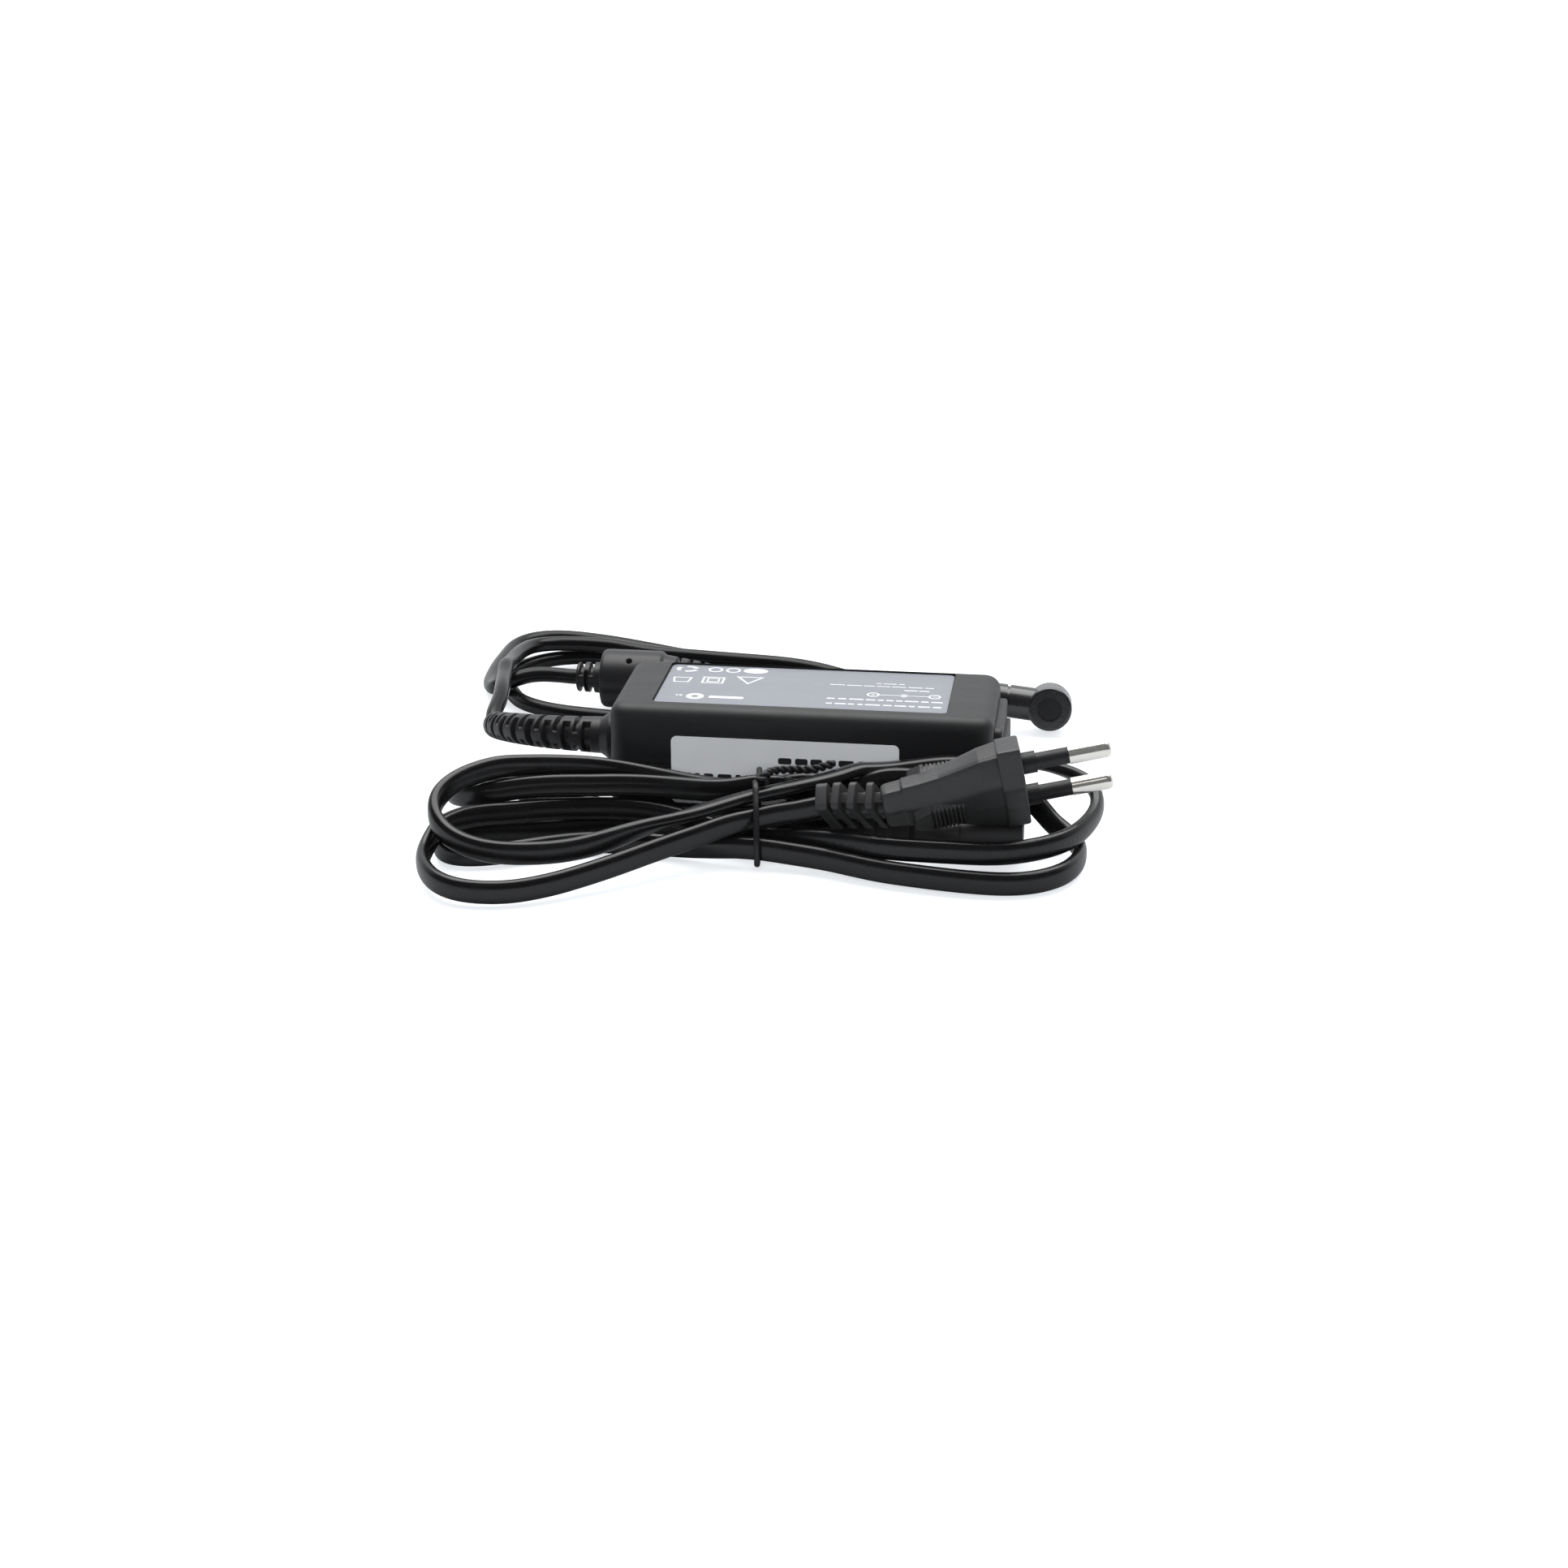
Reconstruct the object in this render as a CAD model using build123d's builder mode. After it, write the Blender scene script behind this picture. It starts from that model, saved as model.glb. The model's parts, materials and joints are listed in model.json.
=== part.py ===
from build123d import *
import math
import os

# Laptop power adapter with a two-pole mains cord set.
# Frame: origin at the centre of the adapter's underside, +X to the mains inlet, +Z up, millimetres.
# Each piece has a function of its own name; the list of pieces is at the end.

os.makedirs("parts", exist_ok=True)

# ---- casing
CASE_L, CASE_W, CASE_H = 87.0, 36.0, 27.0
END_X = CASE_L / 2
SIDE_Y = CASE_W / 2
SPLIT_Z = 13.5
SPLIT_GAP = 0.02  # each half stops this far from the split
WALL = 2.0
CORNER_R = 4.0
TOP_EDGE_R = 3.0
BOTTOM_EDGE_R = 1.6
SPLIT_CHAMFER = 0.2
LIP_H, LIP_T = 1.2, 0.9
LIP_INSET = WALL - LIP_T
LIP_GAP = 0.1
LABEL_L, LABEL_W, LABEL_X, LABEL_Y = 67.2, 29.35, -0.6, 1.175
LABEL_RECESS = 0.65
LABEL_GAP = 0.3
FOIL = 0.12
STICKER_L, STICKER_H, STICKER_X, STICKER_Z = 51.7, 16.0, -3.15, 12.5

# ---- mains inlet and its mating connector, two poles
POLE_PITCH = 8.6
INLET_Z = 13.0
INLET_W, INLET_H = 18.0, 12.0
INLET_GAP = 0.2
INLET_PIN_R = 1.18
INLET_SLOT_R = 4.1
INLET_SLOT_PITCH = 5.8
CONN_Y, CONN_Z, CONN_END = -26.5, 4.1, 51.2
INLET_POLES = [(side * POLE_PITCH / 2, INLET_Z) for side in (-1, 1)]
CONN_POLES = [(CONN_Y + side * POLE_PITCH / 2, CONN_Z) for side in (-1, 1)]

# ---- board and the places that several parts on it share
BOARD_L, BOARD_W, BOARD_T, BOARD_X, BOARD_Z = 70.0, 30.0, 1.6, -5.0, 5.0
TOP_Z = BOARD_Z + BOARD_T + 0.05  # foot of the parts on the board
CHOKE_X = 9.6
TRANSISTOR_X = -2.0
RECTIFIER_X = -23.0
TRANSFORMER_X = -23.0
HEATSINK_H = 15.4
SCREW_Z = TOP_Z + 12.6
CORE_WINDOW = (13.7, 5.2)  # hole through the bobbin, for the core's middle leg

# ---- low-voltage lead
DC_R = 1.9
DC_BORE_R = 1.95
RELIEF_Z = 13.5
RELIEF_NECK_R = 4.0
RELIEF_HOLE_R = RELIEF_NECK_R + 0.05
FERRITE_Y, FERRITE_Z = 59.7, 7.55
FERRITE_R = 7.45
FERRITE_CORE_X, FERRITE_CORE_MID_R = -52.2, 4.4
FERRITE_CORE_L, FERRITE_CORE_T = 13.5, 3.6
FERRITE_AXIS = Axis((0, FERRITE_Y, FERRITE_Z), (1, 0, 0))
FERRITE_PLANE = Plane.XZ.offset(-FERRITE_Y)

# ---- low-voltage plug, right angle: the barrel leaves a short head, the lead leaves by the arm
HEAD_C = Vector(54.1, 55.4, 6.2)
BARREL_DIR = Vector(-0.027, 0.990, -0.139).normalized()
ARM_DIR = Vector(-0.994, -0.012, 0.109).normalized()
HEAD_R, HEAD_L = 5.5, 8.4
ARM_R, ARM_L = 4.15, 27.0
BARREL_R = 2.0
INSULATOR_R = 1.57
CONTACT_R = 0.87
HEAD_PLANE = Plane(origin=HEAD_C - BARREL_DIR * (HEAD_L / 2), z_dir=BARREL_DIR)
ARM_PLANE = Plane(origin=HEAD_C, z_dir=ARM_DIR)


def square_to(direction, axis):
    """The part of a direction that is square to a unit axis."""
    return direction - axis * direction.dot(axis)


# ---- wall plug, two round pins: centre of its face, way the pins point, way from pin to pin
PLUG_C = Vector(51.4, -37.8, 21.1)
PIN_DIR = Vector(0.972, 0.124, 0.1985).normalized()
PIN_ROW_DIR = square_to(Vector(0.041, 0.7465, -0.66), PIN_DIR).normalized()
PIN_R, PIN_LEN = 2.0, 19.0
PIN_CORE_R = 1.5
SLEEVE_R, SLEEVE_LEN = 1.8, 10.0
PIN_HALF_PITCH = 9.3
PIN_GAP = 0.02
FLANGE_T = 5.0

# ---- flat twin mains cable and the tie round its coil
CABLE_W, CABLE_T = 5.2, 3.0
TIE_R = 0.65
TWIST_R = 0.95

# Tables of centreline points, (x, y, z).
# Coiled mains cable, from the wall plug to the mains connector
MAINS_PATH = [
    (6.90, -38.20, 12.55), (2.05, -38.30, 11.32), (-2.03, -38.75, 10.64), (-6.24, -40.02, 9.95),
    (-10.54, -41.88, 9.45), (-14.65, -44.22, 8.80), (-18.63, -46.87, 8.00), (-22.63, -49.63, 7.29),
    (-26.56, -52.52, 6.59), (-30.43, -55.49, 5.88), (-34.34, -58.45, 5.17), (-38.37, -61.32, 4.50),
    (-42.49, -64.09, 3.88), (-46.70, -66.71, 3.37), (-51.09, -69.04, 3.02), (-55.71, -70.83, 2.87),
    (-60.53, -71.75, 2.95), (-65.28, -71.42, 3.12), (-69.52, -69.57, 3.37), (-72.82, -66.42, 3.69),
    (-75.18, -62.53, 4.04), (-76.54, -58.26, 4.55), (-76.58, -53.91, 5.65), (-75.55, -49.80, 7.44),
    (-72.97, -45.82, 8.21), (-69.11, -42.70, 8.57), (-64.60, -40.46, 8.48), (-59.97, -38.41, 8.32),
    (-55.32, -36.41, 8.24), (-50.60, -34.69, 8.09), (-45.79, -33.37, 7.92), (-40.90, -32.46, 7.81),
    (-35.97, -31.96, 7.64), (-31.07, -31.88, 7.22), (-26.23, -32.19, 6.50), (-21.44, -32.83, 5.61),
    (-16.68, -33.73, 4.78), (-11.93, -34.82, 4.23), (-7.18, -36.05, 4.11), (-2.47, -37.35, 4.36),
    (2.15, -38.81, 5.06), (6.63, -40.58, 5.81), (11.00, -42.61, 6.44), (15.39, -44.65, 6.97),
    (19.91, -46.58, 7.37), (24.69, -48.02, 7.71), (29.66, -48.87, 7.95), (34.68, -49.25, 8.05),
    (39.69, -49.19, 8.01), (44.65, -48.61, 7.87), (49.44, -47.31, 7.81), (53.88, -45.18, 7.88),
    (57.83, -42.28, 7.95), (61.14, -38.70, 8.10), (63.69, -34.56, 8.43), (65.58, -30.08, 8.92),
    (66.90, -25.49, 9.91), (66.91, -21.02, 11.69), (64.51, -17.46, 13.69), (60.25, -15.65, 15.18),
    (55.62, -15.53, 16.52), (51.35, -17.00, 17.44), (47.44, -19.29, 17.94), (43.23, -21.04, 18.32),
    (38.67, -21.55, 18.55), (34.00, -21.47, 18.42), (29.25, -21.47, 17.78), (24.44, -21.78, 16.99),
    (19.56, -22.64, 16.56), (14.78, -24.56, 16.85), (10.56, -27.94, 16.47), (6.14, -30.76, 15.86),
    (1.46, -32.77, 15.18), (-3.23, -34.48, 14.51), (-7.78, -36.34, 13.84), (-12.09, -38.53, 13.10),
    (-16.29, -40.96, 12.35), (-20.49, -43.48, 11.65), (-24.72, -46.06, 10.99),
    (-28.89, -48.73, 10.35), (-32.93, -51.56, 9.69), (-36.90, -54.41, 8.99), (-41.09, -57.04, 8.43),
    (-45.56, -59.21, 8.08), (-50.30, -60.75, 7.96), (-55.21, -61.53, 7.92), (-60.11, -61.36, 7.95),
    (-64.75, -60.08, 8.20), (-69.01, -57.95, 8.78), (-72.78, -55.25, 10.08),
    (-75.28, -51.79, 12.38), (-75.05, -47.55, 14.88), (-72.45, -43.52, 16.67),
    (-68.86, -39.99, 17.62), (-64.78, -36.91, 18.00), (-60.34, -34.47, 17.72),
    (-55.73, -32.52, 17.29), (-51.09, -30.79, 16.81), (-46.44, -29.20, 16.20),
    (-41.77, -27.80, 15.37), (-37.06, -26.61, 14.32), (-32.34, -25.61, 13.19),
    (-27.60, -24.81, 12.08), (-22.81, -24.20, 11.13), (-17.98, -23.83, 10.42),
    (-13.09, -23.71, 10.09), (-8.23, -23.87, 10.39), (-3.47, -24.28, 11.48), (1.22, -24.86, 12.84),
    (6.15, -25.46, 12.91), (11.14, -26.03, 12.25), (15.88, -27.14, 13.42), (20.56, -27.51, 15.75),
    (25.83, -26.77, 15.86), (31.02, -25.45, 15.14), (36.16, -23.99, 14.28), (41.32, -22.72, 13.39),
    (46.54, -22.00, 12.37), (51.58, -22.18, 10.83), (55.52, -23.56, 8.10), (58.94, -25.70, 5.48),
    (62.27, -28.72, 4.07), (63.83, -32.95, 3.27), (63.64, -37.64, 2.97), (62.35, -42.22, 2.89),
    (59.92, -46.32, 2.81), (56.33, -49.52, 2.70), (51.92, -51.60, 2.63), (47.08, -52.60, 2.70),
    (42.12, -52.78, 2.83), (37.17, -52.46, 2.93), (32.27, -51.80, 3.01), (27.40, -50.94, 3.07),
    (22.60, -49.85, 3.11), (17.97, -48.45, 3.22), (13.42, -46.82, 3.36), (8.83, -45.22, 3.46),
    (4.12, -44.01, 3.55), (-0.67, -43.26, 3.79), (-5.54, -42.87, 4.10), (-10.51, -42.48, 4.06),
    (-15.51, -41.85, 3.57), (-20.45, -41.05, 3.10), (-25.33, -40.21, 2.77), (-30.23, -39.55, 2.64),
    (-35.16, -39.30, 2.61), (-40.07, -39.66, 2.62), (-44.88, -40.73, 2.64), (-49.49, -42.49, 2.65),
    (-53.87, -44.77, 2.66), (-58.15, -47.26, 2.68), (-62.55, -49.52, 2.70), (-67.23, -50.93, 2.67),
    (-71.95, -50.62, 2.61), (-75.42, -47.74, 2.61), (-75.63, -43.48, 2.62), (-72.42, -40.07, 2.61),
    (-67.84, -38.00, 2.61), (-63.01, -36.62, 2.61), (-58.14, -35.44, 2.61), (-53.32, -34.19, 2.61),
    (-48.63, -32.77, 2.68), (-44.13, -31.33, 2.84), (-39.79, -30.13, 2.83), (-35.47, -29.24, 2.73),
    (-31.09, -28.71, 2.66), (-26.69, -28.53, 2.66), (-22.29, -28.61, 2.79), (-17.91, -28.81, 3.14),
    (-13.57, -28.95, 3.78), (-9.29, -28.84, 4.73), (-5.11, -28.32, 5.91), (-1.04, -27.25, 7.05),
    (2.84, -25.52, 7.80), (6.34, -23.26, 8.25), (9.94, -21.88, 9.37), (13.79, -21.66, 10.22),
    (17.48, -22.81, 10.54), (20.15, -25.42, 10.46), (20.07, -28.83, 10.38), (16.82, -30.28, 10.53),
    (12.89, -29.72, 10.83), (8.91, -28.96, 11.14), (4.89, -28.53, 11.59), (0.94, -28.29, 12.45),
    (-3.04, -28.15, 13.17), (-7.21, -28.44, 13.36), (-11.58, -29.23, 12.88), (-16.14, -30.04, 12.47),
    (-20.95, -30.53, 12.56), (-25.81, -30.79, 12.84), (-30.69, -31.02, 13.09),
    (-35.58, -31.43, 13.25), (-40.47, -32.14, 13.31), (-45.32, -33.11, 13.38),
    (-50.15, -34.23, 13.54), (-54.93, -35.55, 13.60), (-59.67, -36.93, 13.42),
    (-64.41, -38.07, 12.81), (-69.09, -38.35, 11.95), (-73.11, -36.80, 10.98),
    (-75.91, -33.55, 10.30), (-77.22, -29.40, 9.82), (-76.99, -25.04, 9.29), (-75.31, -21.05, 8.43),
    (-72.45, -17.88, 7.18), (-68.75, -15.79, 5.76), (-64.54, -14.82, 4.50), (-60.09, -14.87, 3.60),
    (-55.63, -15.74, 3.06), (-51.25, -17.14, 2.78), (-46.92, -18.78, 2.67), (-42.52, -20.29, 2.62),
    (-38.01, -21.52, 2.61), (-33.42, -22.50, 2.62), (-28.78, -23.21, 2.68), (-24.09, -23.65, 2.87),
    (-19.39, -23.82, 3.23), (-14.68, -23.77, 3.71), (-9.97, -23.64, 4.13), (-5.25, -23.61, 4.15),
    (-0.59, -23.93, 3.32), (4.05, -24.89, 2.62), (8.72, -26.13, 2.89), (13.51, -26.50, 3.91),
    (16.00, -26.50, 4.10),
]
# Low-voltage lead, from the end of its strain relief to the ferrite
DC_PATH = [
    (-79.21, 21.64, 7.10), (-80.26, 25.29, 5.85), (-81.45, 28.82, 7.07), (-81.58, 32.56, 8.02),
    (-81.64, 36.36, 8.80), (-82.04, 40.16, 9.43), (-82.66, 43.97, 9.67), (-83.35, 47.77, 9.62),
    (-84.01, 51.58, 9.59), (-84.66, 55.41, 9.86), (-85.24, 59.34, 9.99), (-85.53, 63.26, 9.16),
    (-85.80, 67.23, 8.51), (-86.02, 71.24, 8.11), (-86.01, 75.26, 7.80), (-85.69, 79.25, 7.51),
    (-84.96, 83.14, 7.20), (-83.20, 86.64, 6.87), (-80.12, 89.21, 6.58), (-76.31, 90.69, 6.35),
    (-72.27, 91.25, 6.23), (-68.21, 91.06, 6.27), (-64.27, 90.24, 6.36), (-60.48, 88.94, 6.35),
    (-56.75, 87.48, 6.28), (-52.97, 86.16, 6.27), (-49.09, 85.12, 6.33), (-45.16, 84.33, 6.38),
    (-41.20, 83.72, 6.40), (-37.24, 83.20, 6.41), (-33.29, 82.72, 6.41), (-29.35, 82.24, 6.41),
    (-25.42, 81.73, 6.43), (-21.49, 81.17, 6.45), (-17.58, 80.54, 6.46), (-13.69, 79.84, 6.39),
    (-9.83, 79.05, 6.18), (-6.01, 78.16, 5.83), (-2.25, 77.12, 5.35), (1.44, 75.87, 4.80),
    (5.00, 74.35, 4.21), (8.36, 72.46, 3.64), (11.42, 70.11, 3.12), (14.02, 67.28, 2.72),
    (15.98, 63.97, 2.44), (17.11, 60.30, 2.27), (17.28, 56.48, 2.20), (16.44, 52.74, 2.17),
    (14.66, 49.34, 2.18), (12.09, 46.48, 2.19), (8.94, 44.25, 2.20), (5.41, 42.65, 2.20),
    (1.66, 41.60, 2.20), (-2.20, 41.00, 2.20), (-6.11, 40.73, 2.20), (-10.03, 40.67, 2.20),
    (-13.97, 40.75, 2.20), (-17.90, 40.91, 2.20), (-21.84, 41.11, 2.20), (-25.79, 41.36, 2.20),
    (-29.73, 41.63, 2.20), (-33.68, 41.94, 2.20), (-37.63, 42.29, 2.20), (-41.58, 42.70, 2.20),
    (-45.52, 43.15, 2.19), (-49.47, 43.66, 2.19), (-53.42, 44.22, 2.19), (-57.38, 44.83, 2.18),
    (-61.33, 45.54, 2.17), (-65.27, 46.41, 2.14), (-69.15, 47.53, 2.11), (-72.90, 49.03, 2.08),
    (-76.43, 51.00, 2.08), (-79.58, 53.52, 2.06), (-82.09, 56.66, 2.05), (-83.97, 60.23, 2.05),
    (-85.81, 63.71, 2.05), (-87.13, 67.34, 2.05), (-87.95, 71.15, 2.05), (-88.30, 75.02, 2.08),
    (-87.69, 78.86, 2.09), (-86.07, 82.44, 2.11), (-83.79, 85.67, 2.16), (-80.98, 88.45, 2.21),
    (-77.68, 90.66, 2.20), (-74.03, 92.19, 2.13), (-70.19, 92.99, 2.07), (-66.36, 93.05, 2.05),
    (-62.67, 92.38, 2.05), (-59.19, 91.11, 2.05), (-55.93, 89.46, 2.07), (-52.78, 87.62, 2.09),
    (-49.67, 85.74, 2.12), (-46.57, 83.91, 2.14), (-43.44, 82.15, 2.17), (-40.30, 80.48, 2.19),
    (-37.15, 78.89, 2.20), (-33.99, 77.39, 2.21), (-30.82, 75.99, 2.21), (-27.61, 74.78, 2.21),
    (-24.34, 73.91, 2.21), (-21.02, 73.58, 2.20), (-17.78, 74.06, 2.17), (-14.92, 75.54, 2.11),
    (-12.92, 77.98, 2.06), (-12.18, 81.04, 2.06), (-12.86, 84.12, 2.11), (-14.75, 86.71, 2.17),
    (-17.43, 88.58, 2.20), (-20.53, 89.80, 2.21), (-23.81, 90.61, 2.21), (-27.17, 91.26, 2.20),
    (-30.56, 91.95, 2.20), (-33.95, 92.80, 2.20), (-37.31, 93.84, 2.20), (-40.65, 95.05, 2.20),
    (-43.98, 96.40, 2.20), (-47.30, 97.82, 2.20), (-50.63, 99.29, 2.20), (-53.99, 100.76, 2.21),
    (-57.38, 102.23, 2.21), (-60.78, 103.70, 2.20), (-64.21, 105.16, 2.17), (-67.68, 106.56, 2.12),
    (-71.22, 107.82, 2.06), (-74.86, 108.77, 2.06), (-78.63, 109.18, 2.14), (-82.43, 108.81, 2.27),
    (-86.08, 107.51, 2.37), (-89.16, 105.20, 2.39), (-91.29, 102.05, 2.33), (-92.43, 98.42, 2.22),
    (-92.83, 94.61, 2.13), (-92.94, 90.77, 2.08), (-93.01, 86.92, 2.05), (-93.02, 83.09, 2.05),
    (-92.87, 79.28, 2.05), (-92.61, 75.52, 2.05), (-92.30, 71.79, 2.08), (-91.73, 68.12, 2.23),
    (-90.71, 64.59, 2.52), (-89.19, 61.39, 3.29), (-87.07, 59.09, 4.75), (-84.12, 58.41, 6.04),
    (-80.99, 59.09, 7.04), (-77.63, 60.07, 7.50), (-74.05, 60.61, 7.49), (-70.41, 60.29, 7.46),
    (-66.52, 59.70, 7.55), (-62.50, 59.70, 7.55), (-60.50, 59.70, 7.55),
]
# Low-voltage strain relief, outwards from the casing
RELIEF_AXIS = [
    (-43.50, 0.00, 13.50), (-46.55, 0.00, 13.50), (-49.60, 0.00, 13.50), (-52.64, 0.05, 13.49),
    (-55.67, 0.38, 13.40), (-58.65, 1.02, 13.24), (-61.55, 1.97, 12.99), (-64.33, 3.22, 12.66),
    (-66.96, 4.75, 12.25), (-69.42, 6.54, 11.76), (-71.68, 8.59, 11.19), (-73.72, 10.85, 10.53),
    (-75.50, 13.32, 9.80), (-77.03, 15.96, 8.98), (-78.26, 18.74, 8.08), (-79.21, 21.64, 7.10),
]
# Loop of the tie round the coil, and its twisted ends over the top
TIE_LOOP = [
    (-7.26, -35.61, 16.92), (-6.87, -38.13, 16.69), (-6.56, -40.05, 15.04), (-6.28, -41.83, 13.21),
    (-6.06, -43.13, 11.03), (-5.87, -44.20, 8.69), (-5.69, -45.26, 6.36), (-5.62, -45.48, 3.83),
    (-5.66, -44.92, 1.39), (-5.94, -42.70, 0.72), (-6.26, -40.15, 0.72), (-6.59, -37.61, 0.72),
    (-6.91, -35.06, 0.72), (-7.23, -32.52, 0.72), (-7.55, -29.97, 0.72), (-7.88, -27.43, 0.72),
    (-8.20, -24.88, 0.72), (-8.51, -22.38, 0.72), (-8.67, -21.00, 2.74), (-8.65, -20.93, 5.31),
    (-8.60, -21.04, 7.88), (-8.55, -21.15, 10.45), (-8.45, -21.59, 12.93), (-8.13, -23.61, 14.46),
    (-7.79, -25.76, 15.82), (-7.44, -27.98, 17.06), (-7.05, -30.52, 17.08), (-6.65, -33.07, 17.00),
    (-4.66, -35.61, 16.92),
]
TIE_TAIL = [
    (-6.76, -35.41, 17.22), (-5.53, -34.94, 18.00), (-4.57, -31.44, 17.90), (-2.36, -29.03, 17.60),
    (1.06, -27.50, 17.30), (4.30, -27.35, 17.40), (6.32, -26.06, 17.60), (8.70, -24.75, 18.00),
]
# Mains cable inside the wall plug and inside the mains connector
PLUG_ENTRY = [
    (27.6, -40.85, 16.2), (24.9, -41.2, 15.65), (22.0, -41.2, 15.1), (19.0, -40.65, 14.65),
    (15.8, -39.75, 14.15), (12.4, -38.85, 13.6), (9.4, -38.3, 13.1),
]
CONN_ENTRY = [(18.5, CONN_Y, CONN_Z), (21.0, CONN_Y, CONN_Z)]
MAINS_LINE = PLUG_ENTRY + MAINS_PATH + CONN_ENTRY

# Low-voltage lead inside the casing, through the ferrite and on into the plug's arm
INNER_LEAD = [(-39.4, 0.0, RELIEF_Z), (-41.5, 0.0, RELIEF_Z)]
FERRITE_RUN = [(-44.0, FERRITE_Y, FERRITE_Z), (-26.0, FERRITE_Y, FERRITE_Z)]
PLUG_RUN = [
    (-22.0, 59.65, 7.5), (-14.0, 59.3, 7.3), (-5.0, 58.5, 7.3),
    (4.0, 57.4, 7.6), (12.0, 56.3, 8.3), (19.0, 55.4, 9.1),
] + [tuple(HEAD_C + ARM_DIR * reach) for reach in (ARM_L + 3.5, ARM_L, ARM_L - 7)]
DC_LINE = INNER_LEAD + RELIEF_AXIS + DC_PATH[1:] + FERRITE_RUN + PLUG_RUN


# =================================================================== helpers
def tangents(points):
    """Unit directions along a polyline, averaged at its inner points."""
    spots = [Vector(*p) for p in points]
    last = len(spots) - 1
    directions = []
    for i, spot in enumerate(spots):
        before = spots[max(i - 1, 0)]
        after = spots[min(i + 1, last)]
        if 0 < i < last:
            direction = (spot - before).normalized() + (after - spot).normalized()
        else:
            direction = after - before
        directions.append(direction.normalized())
    return directions


def planes_along(points, turns=None):
    """Planes square to a polyline, local x as near +Z as it can be, then turned by turns[i] degrees."""
    planes = []
    for i, (point, tangent) in enumerate(zip(points, tangents(points))):
        side = Vector(0, 0, 1).cross(tangent).normalized()
        angle = math.radians(turns[i]) if turns else 0.0
        x_dir = tangent.cross(side) * math.cos(angle) + side * math.sin(angle)
        planes.append(Plane(origin=point, x_dir=x_dir, z_dir=tangent))
    return planes


def ease(x):
    """0 to 1 with level ends."""
    x = min(max(x, 0.0), 1.0)
    return x * x * (3 - 2 * x)


def about(axis_z, profile):
    """Turn (x, radius) pairs into (x, z) pairs above an axis at height axis_z."""
    return [(x, axis_z + radius) for x, radius in profile]


def slab(plane, centre, length, width, corner_r, thickness, top_edge_r=0):
    """A plate with rounded corners; top_edge_r rounds the edges of its upper face."""
    with BuildPart() as plate:
        with BuildSketch(plane):
            with Locations(centre):
                RectangleRounded(length, width, corner_r)
        extrude(amount=thickness)
        if top_edge_r:
            fillet(plate.faces().sort_by(Axis.Z)[-1].edges(), top_edge_r)
    return plate.part


def rounded_cylinders(plane, centres, radius, length, edge_r):
    """Cylinders with both ends rounded."""
    with BuildPart() as cylinders:
        with BuildSketch(plane):
            with Locations(*centres):
                Circle(radius)
        extrude(amount=length)
        fillet(cylinders.edges().filter_by(GeomType.CIRCLE), edge_r)
    return cylinders.part


def tubes(plane, centres, outer_r, inner_r, length):
    with BuildPart() as pipes:
        with BuildSketch(plane):
            with Locations(*centres):
                Circle(outer_r)
                Circle(inner_r, mode=Mode.SUBTRACT)
        extrude(amount=length)
    return pipes.part


def lead_pair(stations, radius):
    """Two wires, mirrored across y = 0, through stations of (x, distance from y = 0, z)."""
    with BuildPart() as leads:
        for side in (-1, 1):
            with BuildLine() as wire:
                Spline(*[(x, side * y, z) for x, y, z in stations])
            with BuildSketch(Plane(origin=wire.line @ 0, z_dir=wire.line % 0)):
                Circle(radius)
            sweep(path=wire.line)
    return leads.part


def power_package(x, tab_y, tab_t, body_y, body_t, hole_y):
    """A flat package with a drilled tab; each feature runs towards -Y from the y given."""
    width = 10.0
    with BuildPart() as package:
        with BuildSketch(Plane.XZ.offset(-tab_y)):
            with Locations((x, TOP_Z + 8.0)):
                Rectangle(width, 15.0)
        extrude(amount=tab_t)
        with BuildSketch(Plane.XZ.offset(-body_y)):
            with Locations((x, TOP_Z + 5.2)):
                Rectangle(width, 9.0)
        extrude(amount=body_t)
        with BuildSketch(Plane.XZ.offset(-hole_y)):
            with Locations((x, SCREW_Z)):
                Circle(1.5)
        extrude(amount=4, mode=Mode.SUBTRACT)
    return package.part


# =================================================================== casing
def bottom_shell():
    with BuildPart() as shell:
        with BuildSketch(Plane.XY):
            RectangleRounded(CASE_L, CASE_W, CORNER_R)
        extrude(amount=SPLIT_Z - SPLIT_GAP)
        fillet(shell.faces().sort_by(Axis.Z)[0].edges(), BOTTOM_EDGE_R)
        chamfer(shell.faces().sort_by(Axis.Z)[-1].edges(), SPLIT_CHAMFER)
        # lip that stands into the top shell
        with BuildSketch(Plane.XY.offset(SPLIT_Z - 1)):
            RectangleRounded(CASE_L - 2 * LIP_INSET, CASE_W - 2 * LIP_INSET, CORNER_R - LIP_INSET)
        extrude(amount=1 + LIP_H)
        with BuildSketch(Plane.XY.offset(WALL)):
            RectangleRounded(CASE_L - 2 * WALL, CASE_W - 2 * WALL, CORNER_R - WALL)
        extrude(amount=SPLIT_Z, mode=Mode.SUBTRACT)
        # posts under the board
        with BuildSketch(Plane.XY.offset(WALL - 0.2)):
            with GridLocations(60, 24, 2, 2):
                Circle(2.0)
        extrude(amount=BOARD_Z - WALL + 0.2)
        # openings for the inlet and the strain relief
        with BuildSketch(Plane.YZ.offset(END_X - WALL - 1)):
            with Locations((0, INLET_Z)):
                Rectangle(INLET_W + 2 * INLET_GAP, INLET_H + 2 * INLET_GAP)
        extrude(amount=WALL + 3, mode=Mode.SUBTRACT)
        with BuildSketch(Plane.YZ.offset(-END_X - 1)):
            with Locations((0, RELIEF_Z)):
                Circle(RELIEF_HOLE_R)
        extrude(amount=WALL + 2, mode=Mode.SUBTRACT)
    return shell.part


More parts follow.
